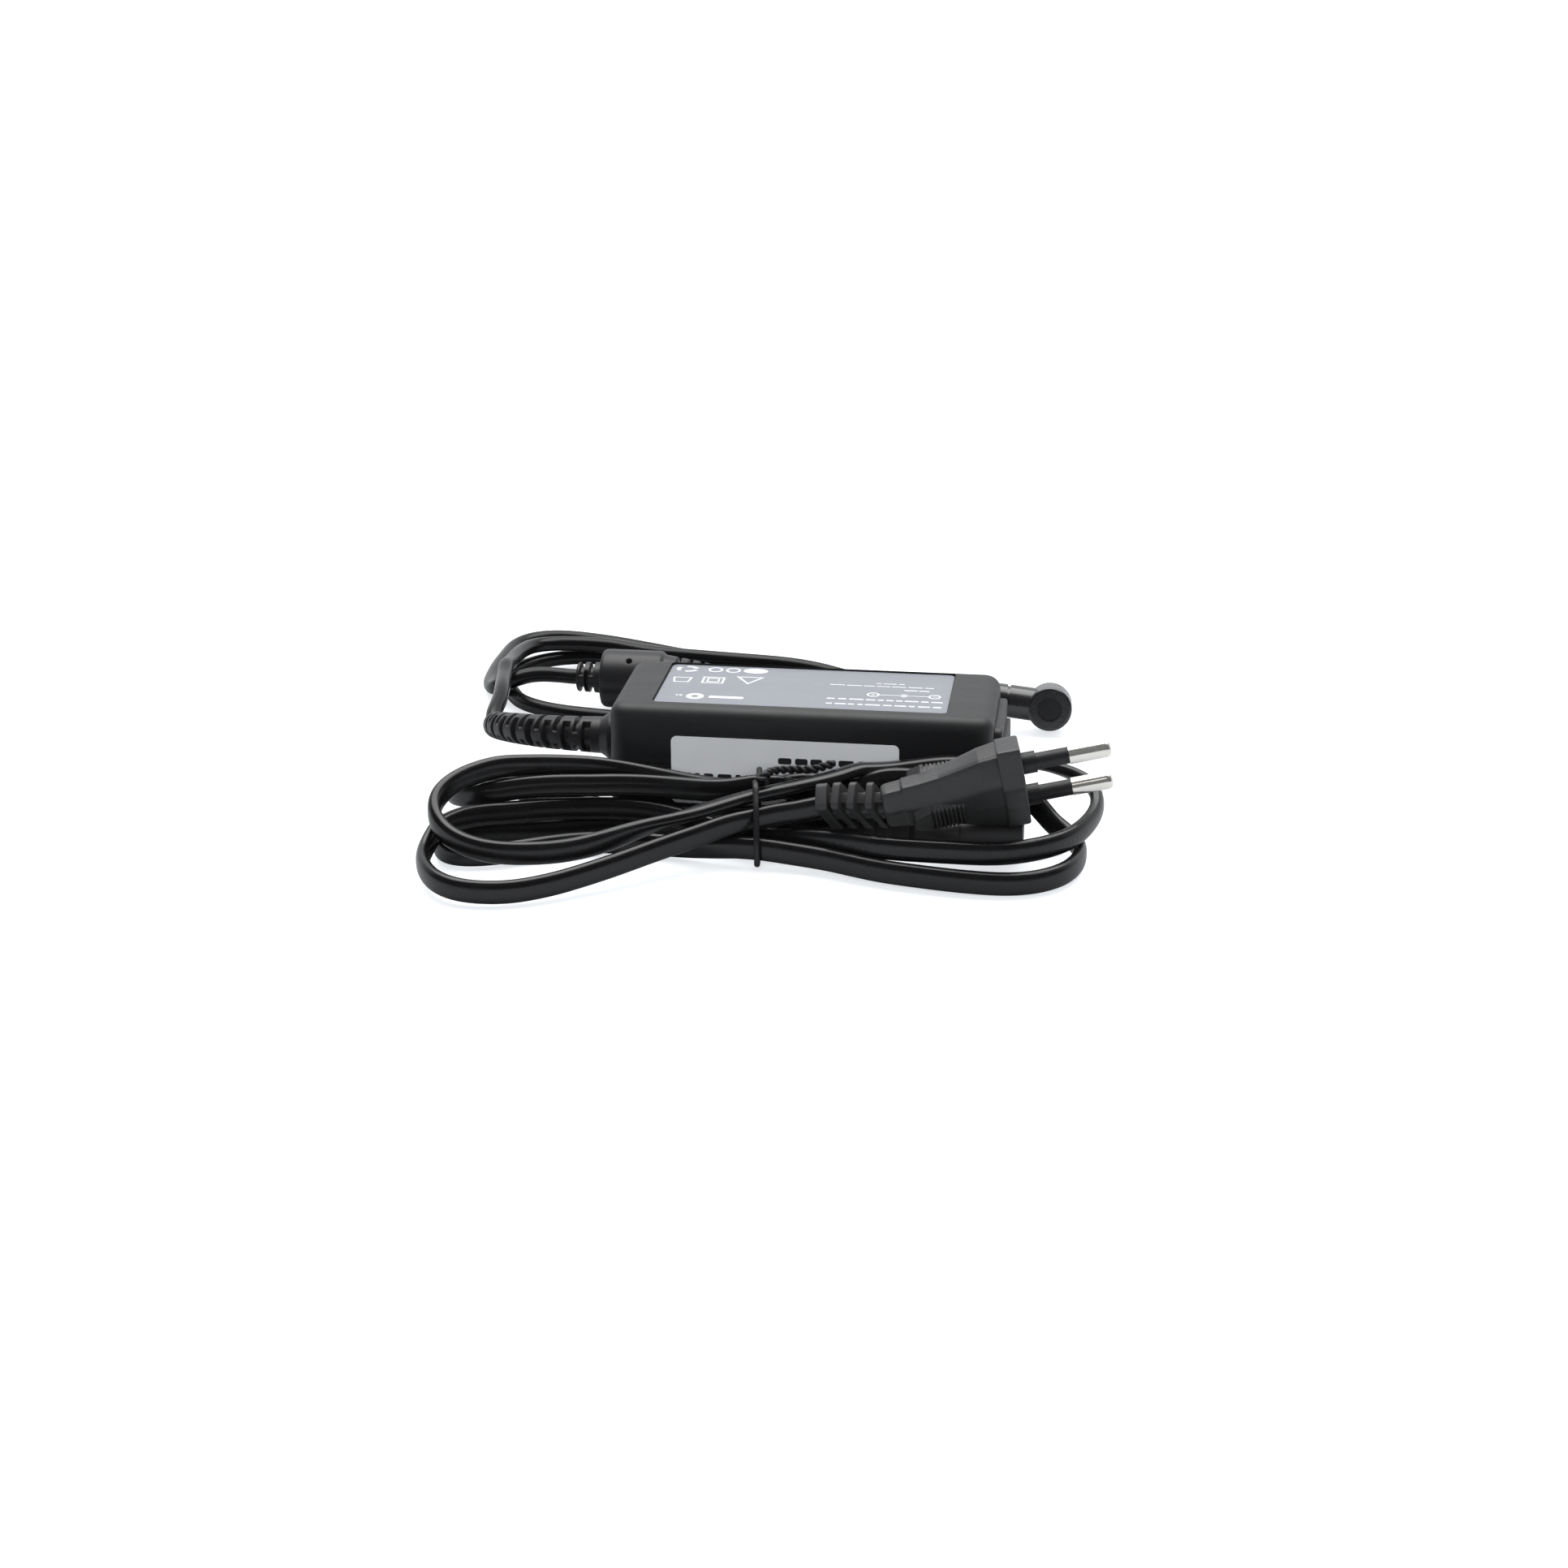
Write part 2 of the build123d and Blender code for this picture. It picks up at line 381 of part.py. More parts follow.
def top_shell():
    rebate_inset = LIP_INSET - LIP_GAP
    with BuildPart() as shell:
        with BuildSketch(Plane.XY.offset(SPLIT_Z + SPLIT_GAP)):
            RectangleRounded(CASE_L, CASE_W, CORNER_R)
        extrude(amount=CASE_H - SPLIT_Z - SPLIT_GAP)
        fillet(shell.faces().sort_by(Axis.Z)[-1].edges(), TOP_EDGE_R)
        chamfer(shell.faces().sort_by(Axis.Z)[0].edges(), SPLIT_CHAMFER)
        with BuildSketch(Plane.XY.offset(SPLIT_Z - 1)):
            RectangleRounded(CASE_L - 2 * WALL, CASE_W - 2 * WALL, CORNER_R - WALL)
        extrude(amount=CASE_H - SPLIT_Z + 1 - WALL, mode=Mode.SUBTRACT)
        # rebate round the lip of the bottom shell
        with BuildSketch(Plane.XY.offset(SPLIT_Z - 1)):
            RectangleRounded(
                CASE_L - 2 * rebate_inset, CASE_W - 2 * rebate_inset, CORNER_R - rebate_inset
            )
        extrude(amount=1 + LIP_H + LIP_GAP, mode=Mode.SUBTRACT)
        with BuildSketch(Plane.XY.offset(CASE_H - LABEL_RECESS)):
            with Locations((LABEL_X, LABEL_Y)):
                RectangleRounded(LABEL_L, LABEL_W, 1.5)
        extrude(amount=2, mode=Mode.SUBTRACT)
        # openings for the inlet and the strain relief
        with BuildSketch(Plane.YZ.offset(END_X - WALL - 1)):
            with Locations((0, INLET_Z)):
                Rectangle(INLET_W + 2 * INLET_GAP, INLET_H + 2 * INLET_GAP)
        extrude(amount=WALL + 3, mode=Mode.SUBTRACT)
        with BuildSketch(Plane.YZ.offset(-END_X - 1)):
            with Locations((0, RELIEF_Z)):
                Circle(RELIEF_HOLE_R)
        extrude(amount=WALL + 2, mode=Mode.SUBTRACT)
    return shell.part


def rating_label():
    plane = Plane.XY.offset(CASE_H - LABEL_RECESS)
    length, width = LABEL_L - 2 * LABEL_GAP, LABEL_W - 2 * LABEL_GAP
    return slab(plane, (LABEL_X, LABEL_Y), length, width, 1.3, FOIL)


def side_sticker():
    plane = Plane.XZ.offset(SIDE_Y)
    return slab(plane, (STICKER_X, STICKER_Z), STICKER_L, STICKER_H, 1.3, FOIL)


# =================================================================== mains inlet
def inlet_housing():
    back_x = 31.5
    with BuildPart() as housing:
        with BuildSketch(Plane.YZ.offset(back_x)):
            with Locations((0, INLET_Z)):
                RectangleRounded(INLET_W, INLET_H, 1.0)
        extrude(amount=END_X + 0.1 - back_x)
        # flange on the casing's end, with a raised panel on it
        with BuildSketch(Plane.YZ.offset(END_X + 0.05)):
            with Locations((0, 13.5)):
                RectangleRounded(24.7, 19.0, 2.2)
        extrude(amount=1.75)
        fillet(housing.faces().sort_by(Axis.X)[-1].edges(), 0.6)
        with BuildSketch(Plane.YZ.offset(END_X + 1.7)):
            with Locations((0, 12.5)):
                RectangleRounded(19.0, 14.0, 3.0)
        extrude(amount=1.1)
        fillet(housing.faces().sort_by(Axis.X)[-1].edges(), 0.4)
        # socket of figure-eight shape
        with BuildSketch(Plane.YZ.offset(back_x + 2.0)):
            with Locations((0, INLET_Z)):
                with Locations((-INLET_SLOT_PITCH / 2, 0), (INLET_SLOT_PITCH / 2, 0)):
                    Circle(INLET_SLOT_R)
                Rectangle(INLET_SLOT_PITCH, 6.6)
        extrude(amount=20, mode=Mode.SUBTRACT)
        with BuildSketch(Plane.YZ.offset(back_x - 0.5)):
            with Locations(*INLET_POLES):
                Circle(INLET_PIN_R + 0.02)
        extrude(amount=4, mode=Mode.SUBTRACT)
    return housing.part


def inlet_pins():
    with BuildPart() as pins:
        with BuildSketch(Plane.YZ.offset(28.5)):
            with Locations(*INLET_POLES):
                Circle(INLET_PIN_R)
        extrude(amount=15.5)
        fillet(pins.faces().filter_by(Axis.X).edges(), 0.5)
    return pins.part


def inlet_leads():
    stations = [
        (28.45, POLE_PITCH / 2, INLET_Z), (26.9, 4.5, 12.4), (25.9, 5.2, 9.6), (25.8, 5.5, TOP_Z),
    ]
    return lead_pair(stations, 0.75)


# =================================================================== board and parts on it
def circuit_board():
    hole_x, hole_y = BOARD_L / 2 - 3.5, BOARD_W / 2 - 2.0
    with BuildPart() as board:
        with BuildSketch(Plane.XY.offset(BOARD_Z)):
            with Locations((BOARD_X, 0)):
                RectangleRounded(BOARD_L, BOARD_W, 1.0)
        extrude(amount=BOARD_T)
        with BuildSketch(Plane.XY.offset(BOARD_Z)):
            with Locations((BOARD_X - hole_x, -hole_y), (BOARD_X + hole_x, hole_y)):
                Circle(1.0)
        extrude(amount=BOARD_T, mode=Mode.SUBTRACT)
    return board.part


def fuse():
    return slab(Plane.XY.offset(TOP_Z), (25.0, -11.2), 8.4, 4.0, 0.8, 7.6, top_edge_r=0.5)


def thermistor():
    return rounded_cylinders(Plane.YZ.offset(22.0), [(10.2, TOP_Z + 4.7)], 4.5, 3.6, 0.9)


def x_capacitor():
    return slab(Plane.XY.offset(TOP_Z), (17.4, 0), 5.4, 14.0, 0.5, 11.0, top_edge_r=0.4)


def choke_core():
    width, height, length = 14.0, 12.0, 6.0
    with BuildPart() as core:
        with BuildSketch(Plane.YZ.offset(CHOKE_X - length / 2)):
            with Locations((0, TOP_Z + height / 2)):
                RectangleRounded(width, height, 0.6)
                Rectangle(8.0, 6.0, mode=Mode.SUBTRACT)
        extrude(amount=length)
    return core.part


def choke_windings():
    with BuildPart() as windings:
        with BuildSketch(Plane.XY.offset(TOP_Z + 3.1)):
            with Locations((CHOKE_X, -5.5), (CHOKE_X, 5.5)):
                RectangleRounded(8.8, 5.8, 1.4)
                RectangleRounded(6.2, 3.2, 0.1, mode=Mode.SUBTRACT)
        extrude(amount=5.8)
    return windings.part


def bridge_rectifier():
    centre = (11.8, 12.5)
    with BuildPart() as bridge:
        with BuildSketch(Plane.XY.offset(TOP_Z + 1.5)):
            with Locations(centre):
                Rectangle(14.5, 3.6)
        extrude(amount=9.5)
        chamfer(bridge.faces().sort_by(Axis.Z)[-1].edges(), 0.4)
        # four legs in a row
        with BuildSketch(Plane.XY.offset(TOP_Z)):
            with Locations(centre):
                with GridLocations(3.8, 1, 4, 1):
                    Rectangle(0.9, 0.6)
        extrude(amount=1.6)
    return bridge.part


def bulk_capacitor():
    return rounded_cylinders(Plane.YZ.offset(-13.4), [(8.0, TOP_Z + 6.6)], 6.5, 17.6, 0.7)


def primary_heatsink():
    with BuildPart() as heatsink:
        with BuildSketch(Plane.XY.offset(TOP_Z)):
            with Locations((-4.0, -13.5)):
                Rectangle(20.0, 1.5)
            with Locations((-13.3, -11.6)):
                Rectangle(1.4, 5.0)
        extrude(amount=HEATSINK_H)
        with BuildSketch(Plane.XZ.offset(12.0)):
            with Locations((TRANSISTOR_X, SCREW_Z)):
                Circle(1.35)
        extrude(amount=4, mode=Mode.SUBTRACT)
    return heatsink.part


def switching_transistor():
    return power_package(
        TRANSISTOR_X, tab_y=-11.45, tab_t=1.25, body_y=-8.2, body_t=3.3, hole_y=-10.0
    )


def transformer_core():
    length = 13.5
    with BuildPart() as core:
        with BuildSketch(Plane.YZ.offset(TRANSFORMER_X - length / 2)):
            with Locations((0, TOP_Z + 8.1)):
                RectangleRounded(18.0, 16.0, 0.6)
                with Locations((-4.5, 0), (4.5, 0)):
                    Rectangle(4.0, 10.0, mode=Mode.SUBTRACT)
        extrude(amount=length)
    return core.part


def transformer_bobbin():
    foot_z, height, flange_t = TOP_Z + 3.2, 9.8, 0.8
    with BuildPart() as bobbin:
        with BuildSketch(Plane.XY.offset(foot_z)):
            with Locations((TRANSFORMER_X, 0)):
                Rectangle(15.2, 6.6)
                Rectangle(*CORE_WINDOW, mode=Mode.SUBTRACT)
        extrude(amount=height)
        for flange_z in (foot_z, foot_z + height - flange_t):
            with BuildSketch(Plane.XY.offset(flange_z)):
                with Locations((TRANSFORMER_X, 0)):
                    Rectangle(18.4, 12.6)
                    Rectangle(*CORE_WINDOW, mode=Mode.SUBTRACT)
            extrude(amount=flange_t)
    return bobbin.part


def transformer_winding():
    with BuildPart() as winding:
        with BuildSketch(Plane.XY.offset(TOP_Z + 4.05)):
            with Locations((TRANSFORMER_X, 0)):
                RectangleRounded(17.6, 11.4, 1.6)
                Rectangle(15.3, 6.7, mode=Mode.SUBTRACT)
        extrude(amount=8.1)
    return winding.part


def thermal_pad():
    return slab(Plane.XY.offset(TOP_Z + 16.2), (TRANSFORMER_X, 0), 12.0, 14.0, 0.5, 1.1)


def y_capacitor():
    return rounded_cylinders(Plane.XZ.offset(1.6), [(-9.4, TOP_Z + 3.9)], 3.6, 3.2, 0.8)


def optocoupler():
    centre = (-1.6, -3.6)
    with BuildPart() as coupler:
        with BuildSketch(Plane.XY.offset(TOP_Z + 0.4)):
            with Locations(centre):
                Rectangle(4.6, 6.4)
        extrude(amount=3.3)
        chamfer(coupler.faces().sort_by(Axis.Z)[-1].edges(), 0.3)
        with BuildSketch(Plane.XY.offset(TOP_Z)):
            with Locations(centre):
                with GridLocations(2.54, 5.6, 2, 2):
                    Rectangle(0.6, 0.4)
        extrude(amount=0.5)
    return coupler.part


def control_chip():
    """Eight-legged chip under the board."""
    centre = (0, 3.0)
    with BuildPart() as chip:
        with BuildSketch(Plane.XY.offset(3.35)):
            with Locations(centre):
                Rectangle(4.9, 3.9)
        extrude(amount=1.45)
        with BuildSketch(Plane.XY.offset(4.7)):
            with Locations(centre):
                with GridLocations(1.27, 5.0, 4, 2):
                    Rectangle(0.45, 1.2)
        extrude(amount=0.25)
    return chip.part


def output_choke():
    axis_x, axis_y = -23.0, -12.0
    # (radius, height above the foot)
    spool = [
        (0, 0), (2.8, 0), (2.8, 1.0), (2.3, 1.2), (2.3, 6.8), (2.8, 7.0), (2.8, 8.0), (0, 8.0),
    ]
    with BuildPart() as choke:
        with BuildSketch(Plane.XZ.offset(-axis_y)):
            with BuildLine():
                Polyline(*[(axis_x + radius, TOP_Z + z) for radius, z in spool], close=True)
            make_face()
        revolve(axis=Axis((axis_x, axis_y, 0), (0, 0, 1)))
    return choke.part


def output_capacitors():
    return rounded_cylinders(Plane.XY.offset(TOP_Z), [(-35.9, -8.8), (-35.9, 8.8)], 3.9, 15.0, 0.6)


def secondary_heatsink():
    with BuildPart() as heatsink:
        with BuildSketch(Plane.XY.offset(TOP_Z)):
            with Locations((RECTIFIER_X, 13.9)):
                Rectangle(16.0, 1.2)
        extrude(amount=HEATSINK_H)
        with BuildSketch(Plane.XZ.offset(-16.0)):
            with Locations((RECTIFIER_X, SCREW_Z)):
                Circle(1.35)
        extrude(amount=4, mode=Mode.SUBTRACT)
    return heatsink.part


def output_rectifier():
    return power_package(
        RECTIFIER_X, tab_y=13.25, tab_t=1.2, body_y=12.1, body_t=2.7, hole_y=14.0
    )


def heatsink_screws():
    # x, y where the head starts, y where the shank starts, shank length; both run towards -Y
    screws = [(TRANSISTOR_X, -9.6, -11.3, 2.9), (RECTIFIER_X, 12.0, 14.45, 2.5)]
    with BuildPart() as both_screws:
        for x, head_y, shank_y, shank_len in screws:
            with BuildSketch(Plane.XZ.offset(-head_y)):
                with Locations((x, SCREW_Z)):
                    Circle(2.2)
            extrude(amount=1.8)
            with BuildSketch(Plane.XZ.offset(-shank_y)):
                with Locations((x, SCREW_Z)):
                    Circle(1.25)
            extrude(amount=shank_len)
    return both_screws.part


def heat_spreader_lower():
    return slab(Plane.XY.offset(2.05), (-2.5, 0), 49.0, 28.0, 1.0, 0.6)


def insulation_sheet():
    return slab(Plane.XY.offset(2.72), (-2.5, 0), 50.0, 29.0, 1.0, 0.3)


def heat_spreader_upper():
    """Sheet over the parts, bent down along both sides."""
    outer_y, top_z, skirt_z, sheet_t = 15.2, 24.75, 16.0, 0.6
    inner_y, under_z = outer_y - sheet_t, top_z - sheet_t
    with BuildPart() as spreader:
        with BuildSketch(Plane.YZ.offset(-34.0)):
            with BuildLine():
                Polyline(
                    (-outer_y, skirt_z), (-inner_y, skirt_z), (-inner_y, under_z),
                    (inner_y, under_z), (inner_y, skirt_z), (outer_y, skirt_z),
                    (outer_y, top_z), (-outer_y, top_z), close=True,
                )
            make_face()
        extrude(amount=58.0)
        fillet(spreader.edges().filter_by(Axis.X).group_by(Axis.Z)[-1], 0.5)
    return spreader.part


def dc_leads():
    stations = [(-38.9, 0.95, RELIEF_Z), (-37.6, 1.3, 12.7), (-36.6, 1.9, 9.8), (-36.4, 2.2, TOP_Z)]
    return lead_pair(stations, 0.7)


# =================================================================== low-voltage lead
def dc_cable():
    with BuildPart() as cable:
        for plane in planes_along(DC_LINE):
            with BuildSketch(plane):
                Circle(DC_R)
        loft(ruled=True)
    return cable.part


# Distance along the strain relief's centreline at each of its points
RELIEF_STEP = [0.0]
for start, end in zip(RELIEF_AXIS[:-1], RELIEF_AXIS[1:]):
    RELIEF_STEP.append(RELIEF_STEP[-1] + (Vector(*end) - Vector(*start)).length)


def on_relief(distance):
    """Plane square to the strain relief's centreline at a distance from the casing."""
    k = max(i for i in range(len(RELIEF_STEP) - 1) if RELIEF_STEP[i] <= distance)
    part_way = (distance - RELIEF_STEP[k]) / (RELIEF_STEP[k + 1] - RELIEF_STEP[k])
    start, end = Vector(*RELIEF_AXIS[k]), Vector(*RELIEF_AXIS[k + 1])
    start_dir, end_dir = tangents(RELIEF_AXIS)[k:k + 2]
    z_dir = (start_dir + (end_dir - start_dir) * part_way).normalized()
    return Plane(origin=start + (end - start) * part_way, z_dir=z_dir)


def dc_strain_relief():
    # (x, radius): flange inside the wall, neck through it, collar outside
    collar = [
        (-40.0, 0), (-40.0, 5.4), (-41.4, 5.4), (-41.4, RELIEF_NECK_R), (-43.55, RELIEF_NECK_R),
        (-43.55, 5.9), (-46.4, 5.7), (-47.4, 4.3), (-51.0, 4.3), (-51.0, 0),
    ]
    rib_count, first_rib, rib_pitch = 8, 10.3, 4.5
    bore_line = [(-39.9, 0, RELIEF_Z), (-41.5, 0, RELIEF_Z)] + RELIEF_AXIS
    with BuildPart() as relief:
        with BuildSketch(Plane.XZ):
            with BuildLine():
                Polyline(*about(RELIEF_Z, collar), close=True)
            make_face()
        revolve(axis=Axis((0, 0, RELIEF_Z), (1, 0, 0)))
        # tapered core with ribs round it
        for distance, plane in zip(RELIEF_STEP, planes_along(RELIEF_AXIS)):
            with BuildSketch(plane):
                Circle(3.4 - 0.7 * distance / RELIEF_STEP[-1])
        loft(ruled=True)
        for k in range(rib_count):
            with BuildSketch(on_relief(first_rib + rib_pitch * k)):
                Circle(4.3 - 1.15 * (k + 1) / rib_count)
            extrude(amount=1.3, both=True)
        for plane in planes_along(bore_line):
            with BuildSketch(plane):
                Circle(DC_BORE_R)
        loft(ruled=True, mode=Mode.SUBTRACT)
    return relief.part


# Ferrite overmould, (x, radius): ribbed short end, drum, ribbed taper
FERRITE_PROFILE = [
    (-66.6, DC_BORE_R), (-66.6, 3.6), (-65.6, 3.75), (-65.6, 2.7), (-64.6, 2.7),
    (-64.6, 3.75), (-63.2, 3.75), (-63.2, 2.8), (-62.2, 2.8), (-62.2, 3.9), (-60.0, 3.9),
    (-60.0, FERRITE_R - 1.0), (-59.7, FERRITE_R - 0.3), (-59.0, FERRITE_R), (-44.5, FERRITE_R),
    (-41.5, 6.6), (-41.5, 6.1), (-39.7, 5.9), (-39.7, 6.2), (-38.4, 6.0), (-38.4, 5.4),
    (-36.6, 5.1), (-36.6, 5.5), (-35.3, 5.3), (-35.3, 4.6), (-33.5, 4.3), (-33.5, 4.8),
    (-32.2, 4.6), (-32.2, 3.9), (-30.4, 3.6), (-30.4, 4.1), (-29.1, 3.9), (-29.1, 3.3),
    (-27.0, 3.0), (-27.0, DC_BORE_R),
]


def ferrite_overmould():
    with BuildPart() as overmould:
        with BuildSketch(FERRITE_PLANE):
            with BuildLine():
                Polyline(*about(FERRITE_Z, FERRITE_PROFILE), close=True)
            make_face()
        revolve(axis=FERRITE_AXIS)
        with BuildSketch(FERRITE_PLANE):
            with Locations((FERRITE_CORE_X, FERRITE_Z + FERRITE_CORE_MID_R)):
                Rectangle(FERRITE_CORE_L + 0.1, FERRITE_CORE_T + 0.1)
        revolve(axis=FERRITE_AXIS, mode=Mode.SUBTRACT)
    return overmould.part


def ferrite_core():
    with BuildPart() as core:
        with BuildSketch(FERRITE_PLANE):
            with Locations((FERRITE_CORE_X, FERRITE_Z + FERRITE_CORE_MID_R)):
                Rectangle(FERRITE_CORE_L, FERRITE_CORE_T)
        revolve(axis=FERRITE_AXIS)
    return core.part


# =================================================================== low-voltage plug
def dc_plug_body():
    with BuildPart() as body:
        with BuildSketch(HEAD_PLANE):
            Circle(HEAD_R)
        extrude(amount=HEAD_L)
        fillet(body.edges().filter_by(GeomType.CIRCLE), 0.7)
        # arm, with a groove round it and a tapered tail
        with BuildSketch(ARM_PLANE):
            Circle(ARM_R)
        extrude(amount=10.3)
        with BuildSketch(ARM_PLANE.offset(10.2)):
            Circle(ARM_R - 0.45)
        extrude(amount=0.9)
        with BuildSketch(ARM_PLANE.offset(11.0)):
            Circle(ARM_R)
        extrude(amount=4.0)
        with BuildSketch(ARM_PLANE.offset(14.9)):
            Circle(ARM_R - 0.15)
        with BuildSketch(ARM_PLANE.offset(ARM_L)):
            Circle(2.7)
        loft()
        with BuildSketch(ARM_PLANE.offset(19.4)):
            Circle(DC_BORE_R)
        extrude(amount=8, mode=Mode.SUBTRACT)
        # recess for the insert, then the hole for the barrel
        with BuildSketch(HEAD_PLANE):
            Circle(3.0)
        extrude(amount=1.0, mode=Mode.SUBTRACT)
        with BuildSketch(HEAD_PLANE.offset(HEAD_L - 5.0)):
            Circle(BARREL_R + 0.03)
        extrude(amount=8, mode=Mode.SUBTRACT)
    return body.part


def dc_plug_insert():
    with BuildPart() as insert:
        with BuildSketch(HEAD_PLANE.offset(0.25)):
            Circle(2.96)
        extrude(amount=0.7)
    return insert.part


def dc_plug_barrel():
    return tubes(HEAD_PLANE.offset(HEAD_L - 4.95), [(0, 0)], BARREL_R, INSULATOR_R + 0.03, 14.4)


def dc_plug_insulator():
    return tubes(HEAD_PLANE.offset(HEAD_L - 4.9), [(0, 0)], INSULATOR_R, CONTACT_R + 0.03, 14.2)


def dc_plug_contact():
    return tubes(HEAD_PLANE.offset(HEAD_L - 4.9), [(0, 0)], CONTACT_R, 0.6, 11.0)


def dc_plug_cap():
    cap_start = HEAD_L + 0.15
    barrel_axis = Axis(tuple(HEAD_C), tuple(BARREL_DIR))
    with BuildPart() as cap:
        with BuildSketch(HEAD_PLANE.offset(cap_start)):
            Circle(2.85)
        extrude(amount=11.4)
        with BuildSketch(HEAD_PLANE.offset(cap_start)):
            Circle(3.1)
        extrude(amount=1.6)
        fillet(cap.faces().sort_by(barrel_axis)[-1].edges(), 0.8)
        with BuildSketch(HEAD_PLANE.offset(cap_start - 1)):
            Circle(BARREL_R + 0.05)
        extrude(amount=1 + 9.9, mode=Mode.SUBTRACT)
    return cap.part


# =================================================================== mains cord
def mains_cable():
    """The cable stands on its narrow edge, but the top strand lies over towards its flat side."""
    flat_turn = 78.0
    # in points of MAINS_PATH: where each turn starts and over how many points it runs
    over_at, over_span = 55.5, 5
    back_at, back_span = 76, 6
    path_turns = [
        flat_turn * ease((k - over_at) / over_span) * (1 - ease((k - back_at) / back_span))
        for k in range(len(MAINS_PATH))
    ]
    turns = [0.0] * len(PLUG_ENTRY) + path_turns + [0.0] * len(CONN_ENTRY)
    with BuildPart() as cable:
        for plane in planes_along(MAINS_LINE, turns):
            with BuildSketch(plane):
                SlotOverall(CABLE_W, CABLE_T)
        loft(ruled=True)
    return cable.part


def plug_plane(back, along=0.0):
    """Plane square to the pins, a distance back from the plug's face, facing away from the pins.

    Local x runs from the upper pin to the lower one."""
    origin = PLUG_C - PIN_DIR * back + PIN_ROW_DIR * along
    return Plane(origin=origin, x_dir=PIN_ROW_DIR, z_dir=-PIN_DIR)


def relief_planes(points, directions):
    """Planes square to the directions, local x kept near the pin row."""
    return [
        Plane(origin=point, x_dir=square_to(PIN_ROW_DIR, direction), z_dir=direction)
        for point, direction in zip(points, directions)
    ]


def hexagon(half_w, half_flat, half_t):
    return [
        (-half_w, 0), (-half_flat, -half_t), (half_flat, -half_t),
        (half_w, 0), (half_flat, half_t), (-half_flat, half_t),
    ]


def wall_plug_body():
    # distance back from the face, half width, half width of the flats, half thickness
    sections = [
        (4.6, 15.6, 9.8, 5.7), (9.0, 14.8, 9.2, 5.5), (14.0, 12.0, 7.6, 5.1),
        (20.0, 8.9, 6.0, 4.4), (29.5, 7.4, 5.4, 3.8),
    ]
    ribs = [(20.2, -40.9, 14.83), (16.6, -40.0, 14.28), (13.0, -39.0, 13.7), (9.5, -38.35, 13.1)]
    rib_dirs = tangents([(23.5, -41.3, 15.4)] + ribs + [(6.5, -38.1, 12.5)])[1:-1]
    web = [(24.0, -41.3, 15.5)] + ribs + [(8.2, -38.25, 12.85)]
    with BuildPart() as body:
        with BuildSketch(plug_plane(0)):
            Polygon(*hexagon(17.65, 11.0, 6.3), align=None)
        extrude(amount=FLANGE_T)
        for back, half_w, half_flat, half_t in sections:
            with BuildSketch(plug_plane(back)):
                Polygon(*hexagon(half_w, half_flat, half_t), align=None)
        loft()
        # strain relief: ribs, then the web that joins them
        for plane in relief_planes(ribs, rib_dirs):
            with BuildSketch(plane):
                RectangleRounded(13.8, 6.4, 1.2)
            extrude(amount=0.95, both=True)
        for plane in relief_planes(web, tangents(web)):
            with BuildSketch(plane):
                RectangleRounded(7.6, 5.6, 1.0)
        loft(ruled=True)
        # room for the cable, the carrier and the pins
        for plane in planes_along(PLUG_ENTRY + MAINS_PATH[:3]):
            with BuildSketch(plane):
                SlotOverall(CABLE_W + 0.1, CABLE_T + 0.1)
        loft(ruled=True, mode=Mode.SUBTRACT)
        with BuildSketch(plug_plane(1.5)):
            Rectangle(22.6, 5.6)
        extrude(amount=7.0, mode=Mode.SUBTRACT)
        for side in (-1, 1):
            with BuildSketch(plug_plane(-1, side * PIN_HALF_PITCH)):
                Circle(PIN_CORE_R + 0.05)
            extrude(amount=3, mode=Mode.SUBTRACT)
    return body.part


def wall_plug_carrier():
    with BuildPart() as carrier:
        with BuildSketch(plug_plane(1.55)):
            Rectangle(22.5, 5.5)
        extrude(amount=6.9)
        for side in (-1, 1):
            with BuildSketch(plug_plane(1, side * PIN_HALF_PITCH)):
                Circle(PIN_CORE_R + 0.03)
            extrude(amount=9, mode=Mode.SUBTRACT)
    return carrier.part


def wall_plug_pins():
    pin_axis = Axis(tuple(PLUG_C), tuple(PIN_DIR))
    with BuildPart() as pins:
        for side in (-1, 1):
            with BuildSketch(plug_plane(-PIN_LEN, side * PIN_HALF_PITCH)):
                Circle(PIN_R)
            extrude(amount=PIN_LEN - SLEEVE_LEN - PIN_GAP)
        fillet(pins.edges().filter_by(GeomType.CIRCLE).group_by(pin_axis)[-1], 1.2)
        # thinner core through the sleeve and into the body
        for side in (-1, 1):
            with BuildSketch(plug_plane(-SLEEVE_LEN - 0.5, side * PIN_HALF_PITCH)):
                Circle(PIN_CORE_R)
            extrude(amount=SLEEVE_LEN + 0.5 + 8.0)
    return pins.part


def wall_plug_sleeves():
    collar_l = 3.0
    with BuildPart() as sleeves:
        for side in (-1, 1):
            with BuildSketch(plug_plane(-SLEEVE_LEN, side * PIN_HALF_PITCH)):
                Circle(SLEEVE_R)
            extrude(amount=SLEEVE_LEN - PIN_GAP)
            with BuildSketch(plug_plane(-collar_l, side * PIN_HALF_PITCH)):
                Circle(2.35)
            extrude(amount=collar_l - PIN_GAP)
        for side in (-1, 1):
            with BuildSketch(plug_plane(-SLEEVE_LEN - 1, side * PIN_HALF_PITCH)):
                Circle(PIN_CORE_R + 0.02)
            extrude(amount=SLEEVE_LEN + 3, mode=Mode.SUBTRACT)
    return sleeves.part


